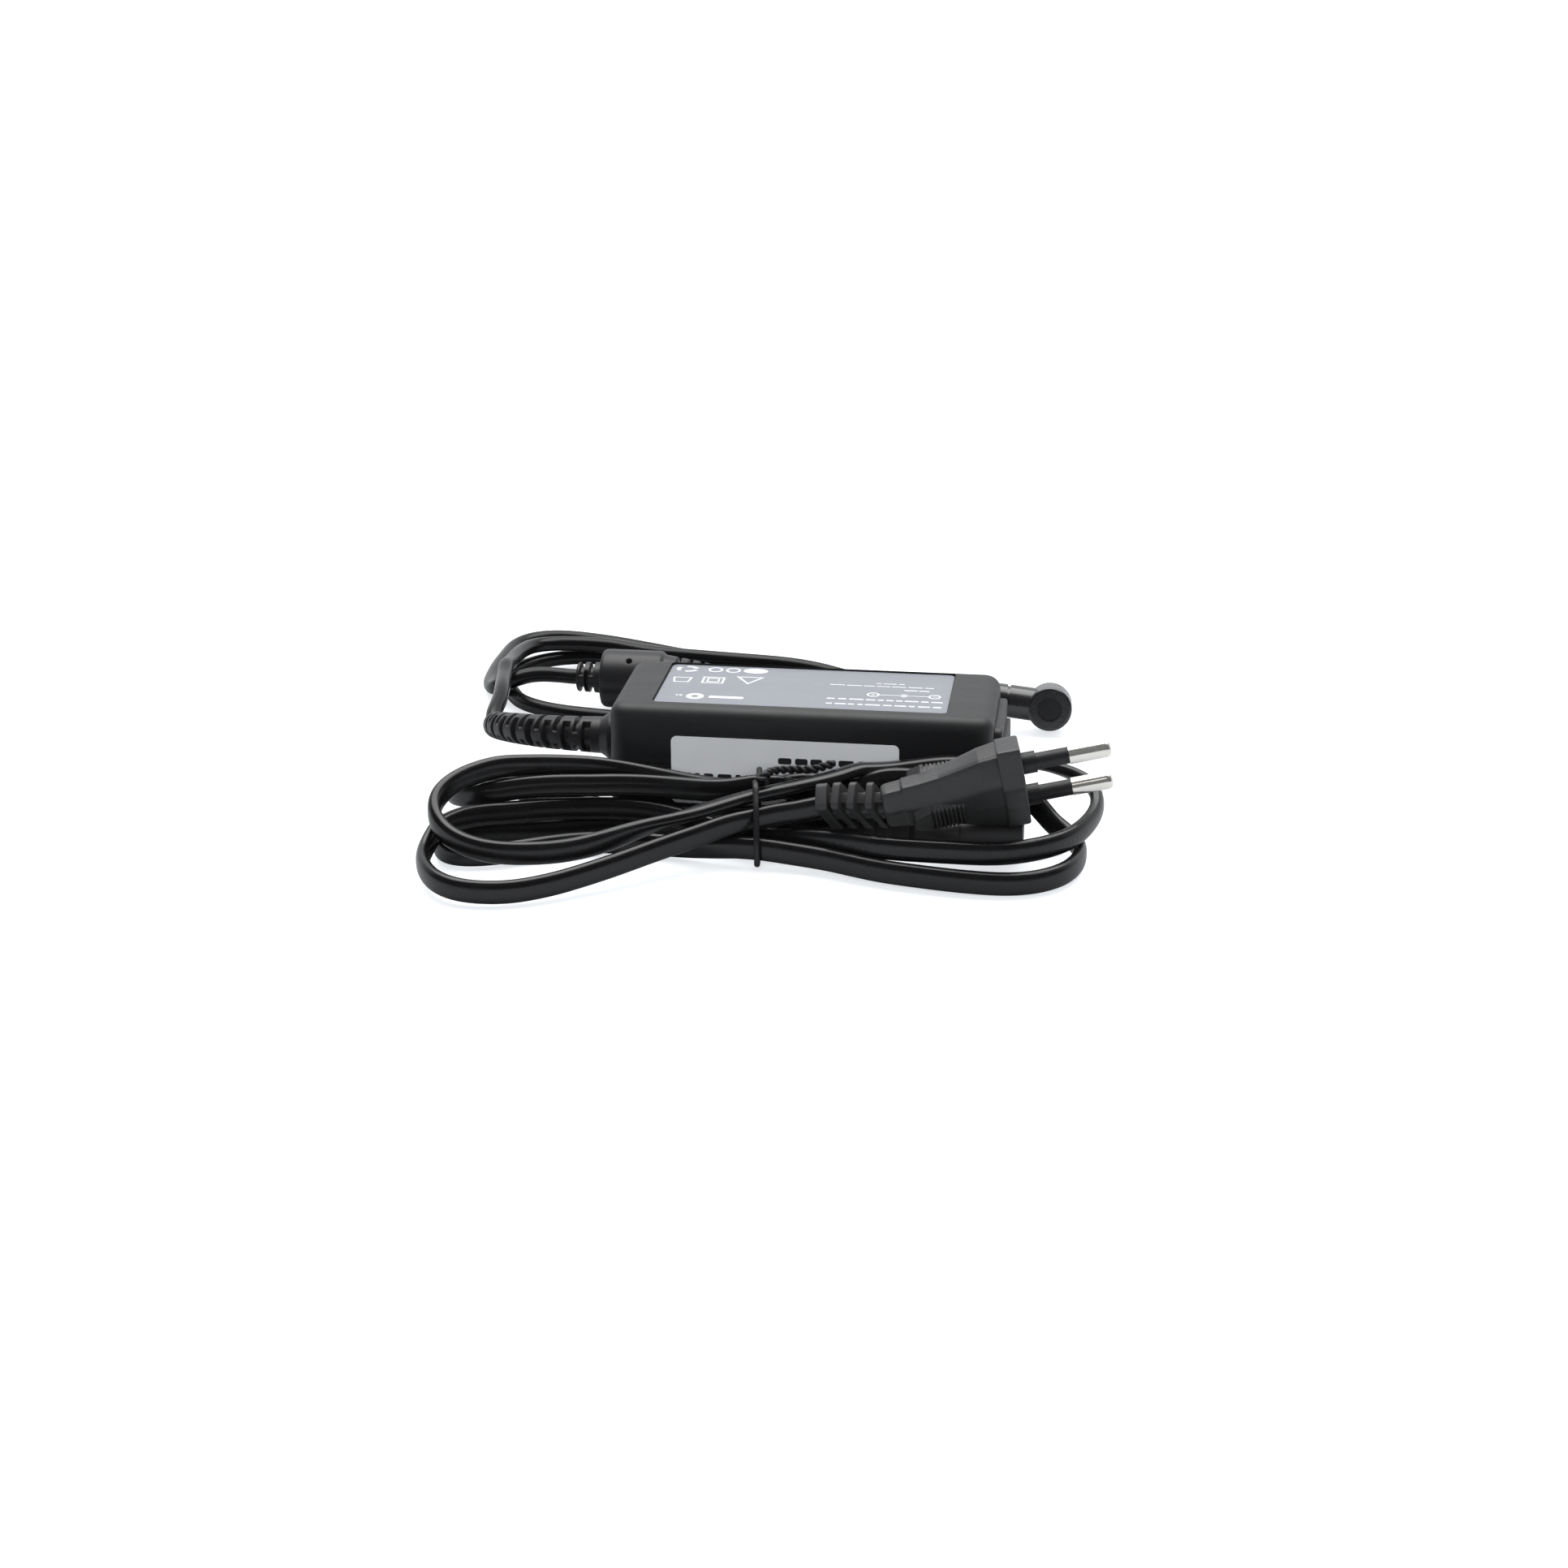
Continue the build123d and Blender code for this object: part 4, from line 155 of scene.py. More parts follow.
# Low-voltage lead, from the end of its strain relief to the ferrite sleeve: x y z
LOW_VOLTAGE = points("""
-79.70 23.49 6.14, -80.26 25.29 5.85, -81.06 27.02 6.49, -81.45 28.82 7.07,
-81.58 30.68 7.58, -81.58 32.56 8.02, -81.57 34.46 8.42, -81.64 36.36 8.80, -81.79 38.26 9.15,
-82.04 40.16 9.43, -82.33 42.06 9.60, -82.66 43.97 9.67, -83.01 45.87 9.66, -83.35 47.77 9.62,
-83.69 49.67 9.59, -84.01 51.58 9.59, -84.33 53.49 9.68, -84.66 55.41 9.86, -84.98 57.35 10.05,
-85.24 59.34 9.99, -85.40 61.30 9.61, -85.53 63.26 9.16, -85.66 65.24 8.79, -85.80 67.23 8.51,
-85.93 69.23 8.29, -86.02 71.24 8.11, -86.05 73.25 7.95, -86.01 75.26 7.80, -85.89 77.26 7.65,
-85.69 79.25 7.51, -85.40 81.22 7.36, -84.96 83.14 7.20, -84.25 84.98 7.03, -83.20 86.64 6.87,
-81.79 88.07 6.71, -80.12 89.21 6.58, -78.26 90.08 6.46, -76.31 90.69 6.35, -74.30 91.07 6.27,
-72.27 91.25 6.23, -70.23 91.24 6.23, -68.21 91.06 6.27, -66.22 90.72 6.32, -64.27 90.24 6.36,
-62.35 89.63 6.37, -60.48 88.94 6.35, -58.62 88.21 6.31, -56.75 87.48 6.28, -54.87 86.79 6.26,
-52.97 86.16 6.27, -51.04 85.60 6.30, -49.09 85.12 6.33, -47.13 84.69 6.36, -45.16 84.33 6.38,
-43.18 84.00 6.40, -41.20 83.72 6.40, -39.22 83.45 6.41, -37.24 83.20 6.41, -35.27 82.96 6.41,
-33.29 82.72 6.41, -31.32 82.48 6.41, -29.35 82.24 6.41, -27.38 81.99 6.42, -25.42 81.73 6.43,
-23.45 81.46 6.44, -21.49 81.17 6.45, -19.54 80.86 6.46, -17.58 80.54 6.46, -15.64 80.20 6.44,
-13.69 79.84 6.39, -11.76 79.46 6.31, -9.83 79.05 6.18, -7.91 78.62 6.02, -6.01 78.16 5.83,
-4.12 77.66 5.60, -2.25 77.12 5.35, -0.39 76.53 5.09, 1.44 75.87 4.80, 3.24 75.15 4.51,
5.00 74.35 4.21, 6.71 73.46 3.92, 8.36 72.46 3.64, 9.93 71.35 3.37, 11.42 70.11 3.12,
12.79 68.76 2.91, 14.02 67.28 2.72, 15.09 65.68 2.56, 15.98 63.97 2.44, 16.66 62.17 2.34,
17.11 60.30 2.27, 17.32 58.39 2.22, 17.28 56.48 2.20, 16.99 54.58 2.18, 16.44 52.74 2.17,
15.66 50.98 2.17, 14.66 49.34 2.18, 13.46 47.84 2.18, 12.09 46.48 2.19, 10.58 45.28 2.19,
8.94 44.25 2.20, 7.21 43.37 2.20, 5.41 42.65 2.20, 3.56 42.06 2.20, 1.66 41.60 2.20,
-0.26 41.26 2.20, -2.20 41.00 2.20, -4.15 40.83 2.20, -6.11 40.73 2.20, -8.07 40.68 2.20,
-10.03 40.67 2.20, -12.00 40.69 2.20, -13.97 40.75 2.20, -15.93 40.82 2.20, -17.90 40.91 2.20,
-19.87 41.00 2.20, -21.84 41.11 2.20, -23.82 41.23 2.20, -25.79 41.36 2.20, -27.76 41.49 2.20,
-29.73 41.63 2.20, -31.71 41.78 2.20, -33.68 41.94 2.20, -35.66 42.11 2.20, -37.63 42.29 2.20,
-39.61 42.49 2.20, -41.58 42.70 2.20, -43.55 42.92 2.19, -45.52 43.15 2.19, -47.49 43.40 2.19,
-49.47 43.66 2.19, -51.44 43.93 2.19, -53.42 44.22 2.19, -55.40 44.51 2.18, -57.38 44.83 2.18,
-59.35 45.17 2.17, -61.33 45.54 2.17, -63.30 45.95 2.15, -65.27 46.41 2.14, -67.22 46.93 2.12,
-69.15 47.53 2.11, -71.04 48.22 2.09, -72.90 49.03 2.08, -74.70 49.95 2.08, -76.43 51.00 2.08,
-78.07 52.18 2.07, -79.58 53.52 2.06, -80.94 55.02 2.05, -82.09 56.66 2.05, -83.06 58.42 2.05,
-83.97 60.23 2.05, -84.92 61.96 2.05, -85.81 63.71 2.05, -86.54 65.50 2.05, -87.13 67.34 2.05,
-87.59 69.23 2.05, -87.95 71.15 2.05, -88.20 73.08 2.07, -88.30 75.02 2.08, -88.14 76.96 2.09,
-87.69 78.86 2.09, -86.98 80.69 2.09, -86.07 82.44 2.11, -85.00 84.11 2.13, -83.79 85.67 2.16,
-82.45 87.12 2.19, -80.98 88.45 2.21, -79.39 89.63 2.21, -77.68 90.66 2.20, -75.89 91.51 2.16,
-74.03 92.19 2.13, -72.12 92.68 2.09, -70.19 92.99 2.07, -68.27 93.11 2.05, -66.36 93.05 2.05,
-64.50 92.80 2.05, -62.67 92.38 2.05, -60.90 91.81 2.05, -59.19 91.11 2.05, -57.54 90.32 2.06,
-55.93 89.46 2.07, -54.34 88.55 2.08, -52.78 87.62 2.09, -51.22 86.68 2.10, -49.67 85.74 2.12,
-48.12 84.82 2.13, -46.57 83.91 2.14, -45.01 83.02 2.16, -43.44 82.15 2.17, -41.87 81.31 2.18,
-40.30 80.48 2.19, -38.73 79.68 2.20, -37.15 78.89 2.20, -35.57 78.13 2.20, -33.99 77.39 2.21,
-32.41 76.67 2.21, -30.82 75.99 2.21, -29.22 75.36 2.21, -27.61 74.78 2.21, -25.98 74.29 2.21,
-24.34 73.91 2.21, -22.68 73.66 2.21, -21.02 73.58 2.20, -19.37 73.70 2.19, -17.78 74.06 2.17,
-16.27 74.67 2.14, -14.92 75.54 2.11, -13.78 76.65 2.09, -12.92 77.98 2.06, -12.37 79.47 2.05,
-12.18 81.04 2.06, -12.35 82.61 2.09, -12.86 84.12 2.11, -13.68 85.50 2.14, -14.75 86.71 2.17,
-16.01 87.74 2.19, -17.43 88.58 2.20, -18.94 89.26 2.21, -20.53 89.80 2.21, -22.15 90.24 2.21,
-23.81 90.61 2.21, -25.49 90.94 2.21, -27.17 91.26 2.20, -28.86 91.59 2.20, -30.56 91.95 2.20,
-32.25 92.35 2.20, -33.95 92.80 2.20, -35.63 93.30 2.20, -37.31 93.84 2.20, -38.99 94.43 2.20,
-40.65 95.05 2.20, -42.32 95.71 2.20, -43.98 96.40 2.20, -45.64 97.10 2.20, -47.30 97.82 2.20,
-48.96 98.55 2.20, -50.63 99.29 2.20, -52.31 100.02 2.21, -53.99 100.76 2.21, -55.68 101.50 2.21,
-57.38 102.23 2.21, -59.08 102.97 2.21, -60.78 103.70 2.20, -62.49 104.43 2.19, -64.21 105.16 2.17,
-65.94 105.87 2.15, -67.68 106.56 2.12, -69.44 107.22 2.09, -71.22 107.82 2.06, -73.02 108.35 2.05,
-74.86 108.77 2.06, -76.73 109.06 2.09, -78.63 109.18 2.14, -80.53 109.10 2.21, -82.43 108.81 2.27,
-84.29 108.28 2.33, -86.08 107.51 2.37, -87.72 106.48 2.39, -89.16 105.20 2.39, -90.35 103.71 2.37,
-91.29 102.05 2.33, -91.98 100.27 2.27, -92.43 98.42 2.22, -92.70 96.52 2.17, -92.83 94.61 2.13,
-92.90 92.69 2.10, -92.94 90.77 2.08, -92.98 88.84 2.06, -93.01 86.92 2.05, -93.04 85.00 2.05,
-93.02 83.09 2.05, -92.97 81.18 2.05, -92.87 79.28 2.05, -92.74 77.40 2.05, -92.61 75.52 2.05,
-92.47 73.65 2.05, -92.30 71.79 2.08, -92.07 69.94 2.14, -91.73 68.12 2.23, -91.28 66.33 2.35,
-90.71 64.59 2.52, -90.00 62.93 2.81, -89.19 61.39 3.29, -88.24 60.07 3.96, -87.07 59.09 4.75,
-85.68 58.51 5.50, -84.12 58.41 6.04, -82.56 58.65 6.58, -80.99 59.09 7.04, -79.35 59.60 7.36,
-77.63 60.07 7.50, -75.86 60.43 7.52, -74.05 60.61 7.49, -72.22 60.58 7.45, -70.41 60.29 7.46,
-68.51 59.70 7.55, -66.52 59.70 7.55, -64.50 59.70 7.55, -62.50 59.70 7.55, -60.50 59.70 7.55""")

# Strain relief, from the casing's left end outwards: x y z
RELIEF = points("""
-43.50 0.00 13.50, -46.55 0.00 13.50, -49.60 0.00 13.50, -52.64 0.05 13.49, -55.67 0.38 13.40,
-58.65 1.02 13.24, -61.55 1.97 12.99, -64.33 3.22 12.66, -66.96 4.75 12.25, -69.42 6.54 11.76,
-71.68 8.59 11.19, -73.72 10.85 10.53, -75.50 13.32 9.80, -77.03 15.96 8.98, -78.26 18.74 8.08,
-79.21 21.64 7.10""")

# Tie: the loop round the bundle, and its twisted ends: x y z
TIE_LOOP = points("""
-7.26 -35.61 16.92, -6.87 -38.13 16.69, -6.56 -40.05 15.04, -6.28 -41.83 13.21, -6.06 -43.13 11.03,
-5.87 -44.20 8.69, -5.69 -45.26 6.36, -5.62 -45.48 3.83, -5.66 -44.92 1.39, -5.94 -42.70 0.72,
-6.26 -40.15 0.72, -6.59 -37.61 0.72, -6.91 -35.06 0.72, -7.23 -32.52 0.72, -7.55 -29.97 0.72,
-7.88 -27.43 0.72, -8.20 -24.88 0.72, -8.51 -22.38 0.72, -8.67 -21.00 2.74, -8.65 -20.93 5.31,
-8.60 -21.04 7.88, -8.55 -21.15 10.45, -8.45 -21.59 12.93, -8.13 -23.61 14.46, -7.79 -25.76 15.82,
-7.44 -27.98 17.06, -7.05 -30.52 17.08, -6.65 -33.07 17.00, -4.66 -35.61 16.92""")
TIE_ENDS = points("""
-6.76 -35.41 17.22, -5.53 -34.94 18.00, -4.57 -31.44 17.90, -2.36 -29.03 17.60, 1.06 -27.50 17.30,
4.30 -27.35 17.40, 6.32 -26.06 17.60, 8.70 -24.75 18.00""")


# ------------------------------------------------------------------ shader nodes
def add_node(tree, kind, inputs=None, **settings):
    """A node with its settings, then its inputs: a socket is linked, anything else is a value."""
    node = tree.nodes.new(kind)
    for key, value in settings.items():
        setattr(node, key, value)
    for key, value in (inputs or {}).items():
        if isinstance(value, bpy.types.NodeSocket):
            tree.links.new(value, node.inputs[key])
        else:
            node.inputs[key].default_value = value
    return node


def noise(tree, coords, scale, detail, rough, stretch=None):
    if stretch:
        mapping = add_node(tree, "ShaderNodeMapping", {"Scale": stretch, "Vector": coords})
        coords = mapping.outputs[0]
    return add_node(tree, "ShaderNodeTexNoise", {
        "Scale": scale, "Detail": detail, "Roughness": rough, "Vector": coords}).outputs["Fac"]


def ramp(tree, value, source, target):
    """Maps the source range of a value onto the target range."""
    return add_node(tree, "ShaderNodeMapRange", {
        "From Min": source[0], "From Max": source[1],
        "To Min": target[0], "To Max": target[1], "Value": value}).outputs[0]


def calculate(tree, operation, *values):
    node = add_node(tree, "ShaderNodeMath", dict(enumerate(values)), operation=operation)
    return node.outputs[0]


def mix_colours(tree, first, second, factor):
    return add_node(tree, "ShaderNodeMix", {"A": (*first, 1), "B": (*second, 1), "Factor": factor},
                    data_type="RGBA").outputs["Result"]


def new_material(name):
    material = bpy.data.materials.new(name)
    material.use_nodes = True
    tree = material.node_tree
    tree.nodes.clear()
    output = tree.nodes.new("ShaderNodeOutputMaterial")
    bsdf = tree.nodes.new("ShaderNodeBsdfPrincipled")
    tree.links.new(bsdf.outputs[0], output.inputs[0])
    return material, tree, bsdf


def finish_surface(tree, bsdf, base, tones, patches, wear, wear_span, fine, strength, depth):
    """Patchy colour between two tones of the base, roughness from wear plus fine grain, and bump.

    fine is the roughness grain; strength holds the bump's height socket and strength.
    """
    dark, light = ([min(1.0, c * tone) for c in base] for tone in tones)
    tree.links.new(mix_colours(tree, dark, light, patches), bsdf.inputs["Base Color"])
    worn = ramp(tree, wear, source=(0.3, 0.7), target=wear_span)
    grainy = ramp(tree, fine, source=(0.3, 0.7), target=(-0.03, 0.03))
    tree.links.new(calculate(tree, "ADD", worn, grainy), bsdf.inputs["Roughness"])
    height, amount = strength
    bump = add_node(tree, "ShaderNodeBump", {
        "Strength": amount, "Distance": depth, "Height": height})
    tree.links.new(bump.outputs[0], bsdf.inputs["Normal"])


def plastic(name, base, rough, spec=0.5, grain=0.25, grain_mm=0.35, mottle=0.12, wear=0.06,
            metal=0.0, coat=0.0, depth_mm=0.03, stretch=None, transmission=0.0, subsurface=0.0):
    """A moulded, painted or plated surface: fine grain, a slow mottle and handling wear."""
    material, tree, bsdf = new_material(name)
    coords = tree.nodes.new("ShaderNodeTexCoord").outputs["Object"]
    fine = noise(tree, coords, scale=1000.0 / grain_mm, detail=2.0, rough=0.6, stretch=stretch)
    slow = noise(tree, coords, scale=120.0, detail=4.0, rough=0.6)
    smear = noise(tree, coords, scale=45.0, detail=5.0, rough=0.65, stretch=(1.0, 2.2, 1.0))
    finish_surface(tree, bsdf, base, tones=(1 - mottle, 1 + mottle), patches=slow, wear=smear,
                   wear_span=(rough - wear, rough + wear), fine=fine, strength=(fine, grain),
                   depth=depth_mm * MM)
    for socket, value in {
            "Specular IOR Level": spec, "Metallic": metal, "Coat Weight": coat,
            "Coat Roughness": 0.12, "Transmission Weight": transmission,
            "Subsurface Weight": subsurface, "Subsurface Scale": 0.002}.items():
        bsdf.inputs[socket].default_value = value
    return material


def raised_marks(tree, run_uv, draw):
    """Bump height: groups of short strokes in a narrow band down one side, over the draw lines."""
    split = add_node(tree, "ShaderNodeSeparateXYZ", {0: run_uv})
    along, across = split.outputs[0], split.outputs[1]
    cells = add_node(tree, "ShaderNodeTexVoronoi", {"Scale": 0.62, "W": along},
                     voronoi_dimensions="1D", feature="F1")
    stroke = ramp(tree, cells.outputs["Distance"], source=(0.16, 0.24), target=(1.0, 0.0))
    groups = noise(tree, along, scale=0.045, detail=1.0, rough=0.4)
    shown = ramp(tree, groups, source=(0.50, 0.53), target=(0.0, 1.0))
    band_middle, band_half_width, draw_share = 0.0, 0.085, 0.35
    band = calculate(tree, "COMPARE", across, band_middle, band_half_width)
    strokes = calculate(tree, "MULTIPLY", stroke, shown)
    strokes = calculate(tree, "MULTIPLY", strokes, band)
    return calculate(tree, "MULTIPLY_ADD", draw, draw_share, strokes)


def cable(name, base, rough, marks, spec):
    """Extruded jacket: long draw lines, a slow mottle and, with marks, raised strokes."""
    material, tree, bsdf = new_material(name)
    coords = tree.nodes.new("ShaderNodeTexCoord").outputs["Object"]
    run_uv = add_node(tree, "ShaderNodeUVMap", uv_map="run").outputs[0]
    slow = noise(tree, coords, scale=60.0, detail=4.0, rough=0.6)
    draw = noise(tree, run_uv, scale=1.0, detail=3.0, rough=0.6, stretch=(0.10, 22.0, 1.0))
    bump = (raised_marks(tree, run_uv, draw), 0.35) if marks else (draw, 0.10)
    bsdf.inputs["Base Color"].default_value = (*base, 1)
    bsdf.inputs["Specular IOR Level"].default_value = spec
    finish_surface(tree, bsdf, base, tones=(0.7, 1.5), patches=slow, wear=slow,
                   wear_span=(rough - 0.05, rough + 0.08), fine=draw, strength=bump,
                   depth=0.00012)
    return material


MAT = {}


def finish(name, base, rough, kind=plastic, **look):
    MAT[name] = kind(name, base=base, rough=rough, **look)


# name, base colour, roughness
finish("casing_plastic", (0.011, 0.0112, 0.012), 0.50, grain=0.55, grain_mm=0.32, depth_mm=0.05,
       wear=0.04)
finish("label_film", (0.190, 0.199, 0.222), 0.42, grain=0.12, grain_mm=0.6, depth_mm=0.02,
       mottle=0.04, wear=0.05)
finish("sticker_paper", (0.78, 0.785, 0.80), 0.55, grain=0.2, grain_mm=0.25, depth_mm=0.02,
       mottle=0.04, wear=0.03, spec=0.35)
finish("print_white", (0.60, 0.61, 0.63), 0.5, grain=0.2, grain_mm=0.15, mottle=0.05, wear=0.05)
finish("print_black", (0.02, 0.02, 0.022), 0.5, grain=0.2, grain_mm=0.15, mottle=0.1, wear=0.05)
finish("cable_jacket", (0.006, 0.006, 0.0065), 0.24, kind=cable, marks=True, spec=0.5)
finish("cable_round", (0.005, 0.005, 0.0055), 0.22, kind=cable, marks=False, spec=0.28)
finish("plug_plastic", (0.030, 0.030, 0.031), 0.46, grain=0.2, grain_mm=0.5, wear=0.07,
       mottle=0.15)
finish("head_plastic", (0.012, 0.012, 0.013), 0.28, spec=0.8, grain=0.03, grain_mm=0.5,
       depth_mm=0.01, wear=0.03, coat=0.25)
finish("relief_plastic", (0.010, 0.010, 0.011), 0.42, grain=0.2, grain_mm=0.4, mottle=0.15)
finish("inlet_plastic", (0.013, 0.013, 0.014), 0.45, grain=0.3, depth_mm=0.04, wear=0.05)
finish("insert_plastic", (0.008, 0.008, 0.009), 0.5, grain_mm=0.3)
finish("pin_metal", (0.95, 0.92, 0.87), 0.17, grain=0.01, grain_mm=4.0, metal=0.85, mottle=0.03,
       wear=0.02, depth_mm=0.01)
finish("brass", (0.72, 0.52, 0.22), 0.3, metal=1.0, grain=0.1, wear=0.08)
finish("cap_plastic", (0.62, 0.64, 0.64), 0.32, grain=0.1, subsurface=0.4, transmission=0.25)
finish("tie_wire", (0.009, 0.009, 0.010), 0.45, grain_mm=0.2, wear=0.08, mottle=0.3)
finish("board_laminate", (0.03, 0.16, 0.05), 0.4, grain=0.3, grain_mm=0.8, mottle=0.2)
finish("ferrite", (0.05, 0.05, 0.052), 0.6, grain=0.5, grain_mm=0.2, mottle=0.2)
finish("copper_wire", (0.55, 0.22, 0.08), 0.3, metal=0.9, grain=0.6, grain_mm=0.5,
       stretch=(1, 1, 0.1))
finish("tape_yellow", (0.65, 0.48, 0.05), 0.35, grain=0.2, mottle=0.1)
finish("component_black", (0.016, 0.016, 0.017), 0.45, grain=0.4, grain_mm=0.2)
finish("component_yellow", (0.62, 0.46, 0.05), 0.4, grain=0.2, mottle=0.1)
finish("component_blue", (0.03, 0.10, 0.35), 0.25, grain=0.2, mottle=0.15)
finish("component_green", (0.04, 0.14, 0.06), 0.3, grain=0.2, mottle=0.15)
finish("capacitor_sleeve", (0.012, 0.016, 0.04), 0.28, grain=0.1)
finish("aluminium_sheet", (0.72, 0.73, 0.74), 0.32, metal=1.0, grain=0.3, grain_mm=0.4,
       stretch=(0.08, 1, 1))
finish("steel_screw", (0.55, 0.55, 0.56), 0.3, metal=1.0, grain=0.2)
finish("insulation_film", (0.45, 0.48, 0.45), 0.35, grain=0.1)
finish("silicone_pad", (0.42, 0.43, 0.47), 0.7, grain=0.4, grain_mm=0.4)
finish("lead_red", (0.38, 0.03, 0.02), 0.32, grain=0.15)


# ------------------------------------------------------------------ numbers and curves
def unit(v):
    v = np.asarray(v, float)
    return v / np.maximum(np.linalg.norm(v, axis=-1, keepdims=True), 1e-12)


def square_to(v, axis):
    """The direction of v with its part along the axis taken out."""
    return unit(v - axis * np.dot(v, axis))


def smooth01(x):
    x = np.clip(x, 0, 1)
    return x * x * (3 - 2 * x)


def window(x, half, soft):
    """1 within half of zero, falling to 0 over soft."""
    return 1 - smooth01((np.abs(x) - half) / soft + 0.5)


def wrap(degrees):
    return (degrees + 180.0) % 360.0 - 180.0


def lookup(x, table):
    """Straight-line interpolation in a table of (position, value)."""
    return np.interp(x, *zip(*table))


def lengths(line):
    """Distance along a line at each of its points."""
    return np.r_[0, np.cumsum(np.linalg.norm(np.diff(line, axis=0), axis=1))]


def resample(line, distances):
    along = lengths(line)
    return np.c_[tuple(np.interp(distances, along, column) for column in line.T)]


def curve(controls, step):
    """Centripetal spline at an even step: its points, and the distance of each along it."""
    P = np.asarray(controls, float)
    P = np.vstack([2 * P[0] - P[1], P, 2 * P[-1] - P[-2]])
    out = []
    for i in range(1, len(P) - 2):
        p0, p1, p2, p3 = P[i - 1:i + 3]
        t0 = 0.0
        t1 = t0 + np.sqrt(np.linalg.norm(p1 - p0)) + 1e-9
        t2 = t1 + np.sqrt(np.linalg.norm(p2 - p1)) + 1e-9
        t3 = t2 + np.sqrt(np.linalg.norm(p3 - p2)) + 1e-9
        for t in np.linspace(t1, t2, 8, endpoint=False):
            a1 = (t1 - t) / (t1 - t0) * p0 + (t - t0) / (t1 - t0) * p1
            a2 = (t2 - t) / (t2 - t1) * p1 + (t - t1) / (t2 - t1) * p2
            a3 = (t3 - t) / (t3 - t2) * p2 + (t - t2) / (t3 - t2) * p3
            b1 = (t2 - t) / (t2 - t0) * a1 + (t - t0) / (t2 - t0) * a2
            b2 = (t3 - t) / (t3 - t1) * a2 + (t - t1) / (t3 - t1) * a3
            out.append((t2 - t) / (t2 - t1) * b1 + (t - t1) / (t2 - t1) * b2)
    out.append(P[-2])
    dense = np.array(out)
    total = lengths(dense)[-1]
    run = np.linspace(0, total, max(2, int(round(total / step)) + 1))
    return resample(dense, run), run


def upright(line):
    """Sideways and up directions along a line, with up as near to +Z as it can be."""
    tangent = unit(np.gradient(line, axis=0))
    side = unit(np.cross([0.0, 0.0, 1.0], tangent))
    return side, np.cross(tangent, side)


def carried(line, start):
    """Two cross directions carried along a line without twist, the first from start."""
    tangent = unit(np.gradient(line, axis=0))
    side = [square_to(np.asarray(start, float), tangent[0])]
    for t in tangent[1:]:
        side.append(square_to(side[-1], t))
    side = np.array(side)
    return side, np.cross(tangent, side)


# ------------------------------------------------------------------ outlines
def superellipse(width, height, power, n):
    """Evenly spaced closed outline."""
    angle = np.linspace(0, 2 * math.pi, 721)
    c, s = np.cos(angle), np.sin(angle)
    dense = np.c_[width / 2 * np.sign(c) * np.abs(c) ** (2 / power),
                  height / 2 * np.sign(s) * np.abs(s) ** (2 / power)]
    return resample(dense, np.linspace(0, lengths(dense)[-1], n, endpoint=False))


def ellipse(rx, ry, n, cx=0.0, cy=0.0):
    angle = np.linspace(0, 2 * math.pi, n, endpoint=False)
    return np.c_[cx + rx * np.cos(angle), cy + ry * np.sin(angle)]


def rounded(width, height, radius, steps, cx=0.0, cy=0.0):
    """Rectangle with round corners."""
    out = []
    for sx, sy, start in ((1, 1, 0), (-1, 1, 90), (-1, -1, 180), (1, -1, 270)):
        for i in range(steps + 1):
            a = math.radians(start + 90 * i / steps)
            out.append((cx + sx * (width / 2 - radius) + radius * math.cos(a),
                        cy + sy * (height / 2 - radius) + radius * math.sin(a)))
    return np.array(out)


def divided(corners, counts):
    """Closed polygon with each side cut into its count of equal parts."""
    corners = np.array(corners, float)
    ends = np.roll(corners, -1, 0)
    return np.array([a + (b - a) * j / n for a, b, n in zip(corners, ends, counts)
                     for j in range(n)])


# ------------------------------------------------------------------ meshes: (verts, faces)
def skin(rings):
    """Quads over rings of equal size, with both ends closed."""
    rings = np.asarray(rings, float)
    m, n = rings.shape[:2]
    faces = []
    for a in range(0, (m - 1) * n, n):
        b = a + n
        for j in range(n):
            k = (j + 1) % n
            faces.append((a + j, a + k, b + k, b + j))
    faces.append(tuple(range(n - 1, -1, -1)))
    faces.append(tuple(range((m - 1) * n, m * n)))
    return rings.reshape(-1, 3), faces


def join(parts):
    """Several meshes as one."""
    verts, faces, first = [], [], 0
    for v, f in parts:
        verts.append(v)
        faces += [tuple(i + first for i in face) for face in f]
        first += len(v)
    return np.vstack(verts), faces


def sweep(line, side, up, profile):
    """profile: offsets along side and up, one set for all stations or one for each."""
    return skin(line[:, None] + profile[..., :1] * side[:, None] + profile[..., 1:] * up[:, None])


def plate(outline, plane, thick, edge, steps):
    """A thin plate with softened rims, standing on a plane given as origin, x, y, z."""
    origin, X, Y, Z = (np.asarray(v, float) for v in plane)
    after, before = np.roll(outline, -1, 0), np.roll(outline, 1, 0)
    outward = unit(np.c_[(after - before)[:, 1], -(after - before)[:, 0]])
    if np.sum(outline[:, 0] * after[:, 1] - after[:, 0] * outline[:, 1]) < 0:
        outward = -outward
    angles = [math.pi / 2 * k / steps for k in range(steps + 1)]
    lower = [(outline - outward * edge * (1 - math.sin(a)), edge * (1 - math.cos(a)))
             for a in angles]
    upper = [(ring, thick - z) for ring, z in reversed(lower)]
    return skin([origin + q[:, :1] * X + q[:, 1:] * Y + z * Z for q, z in lower + upper])


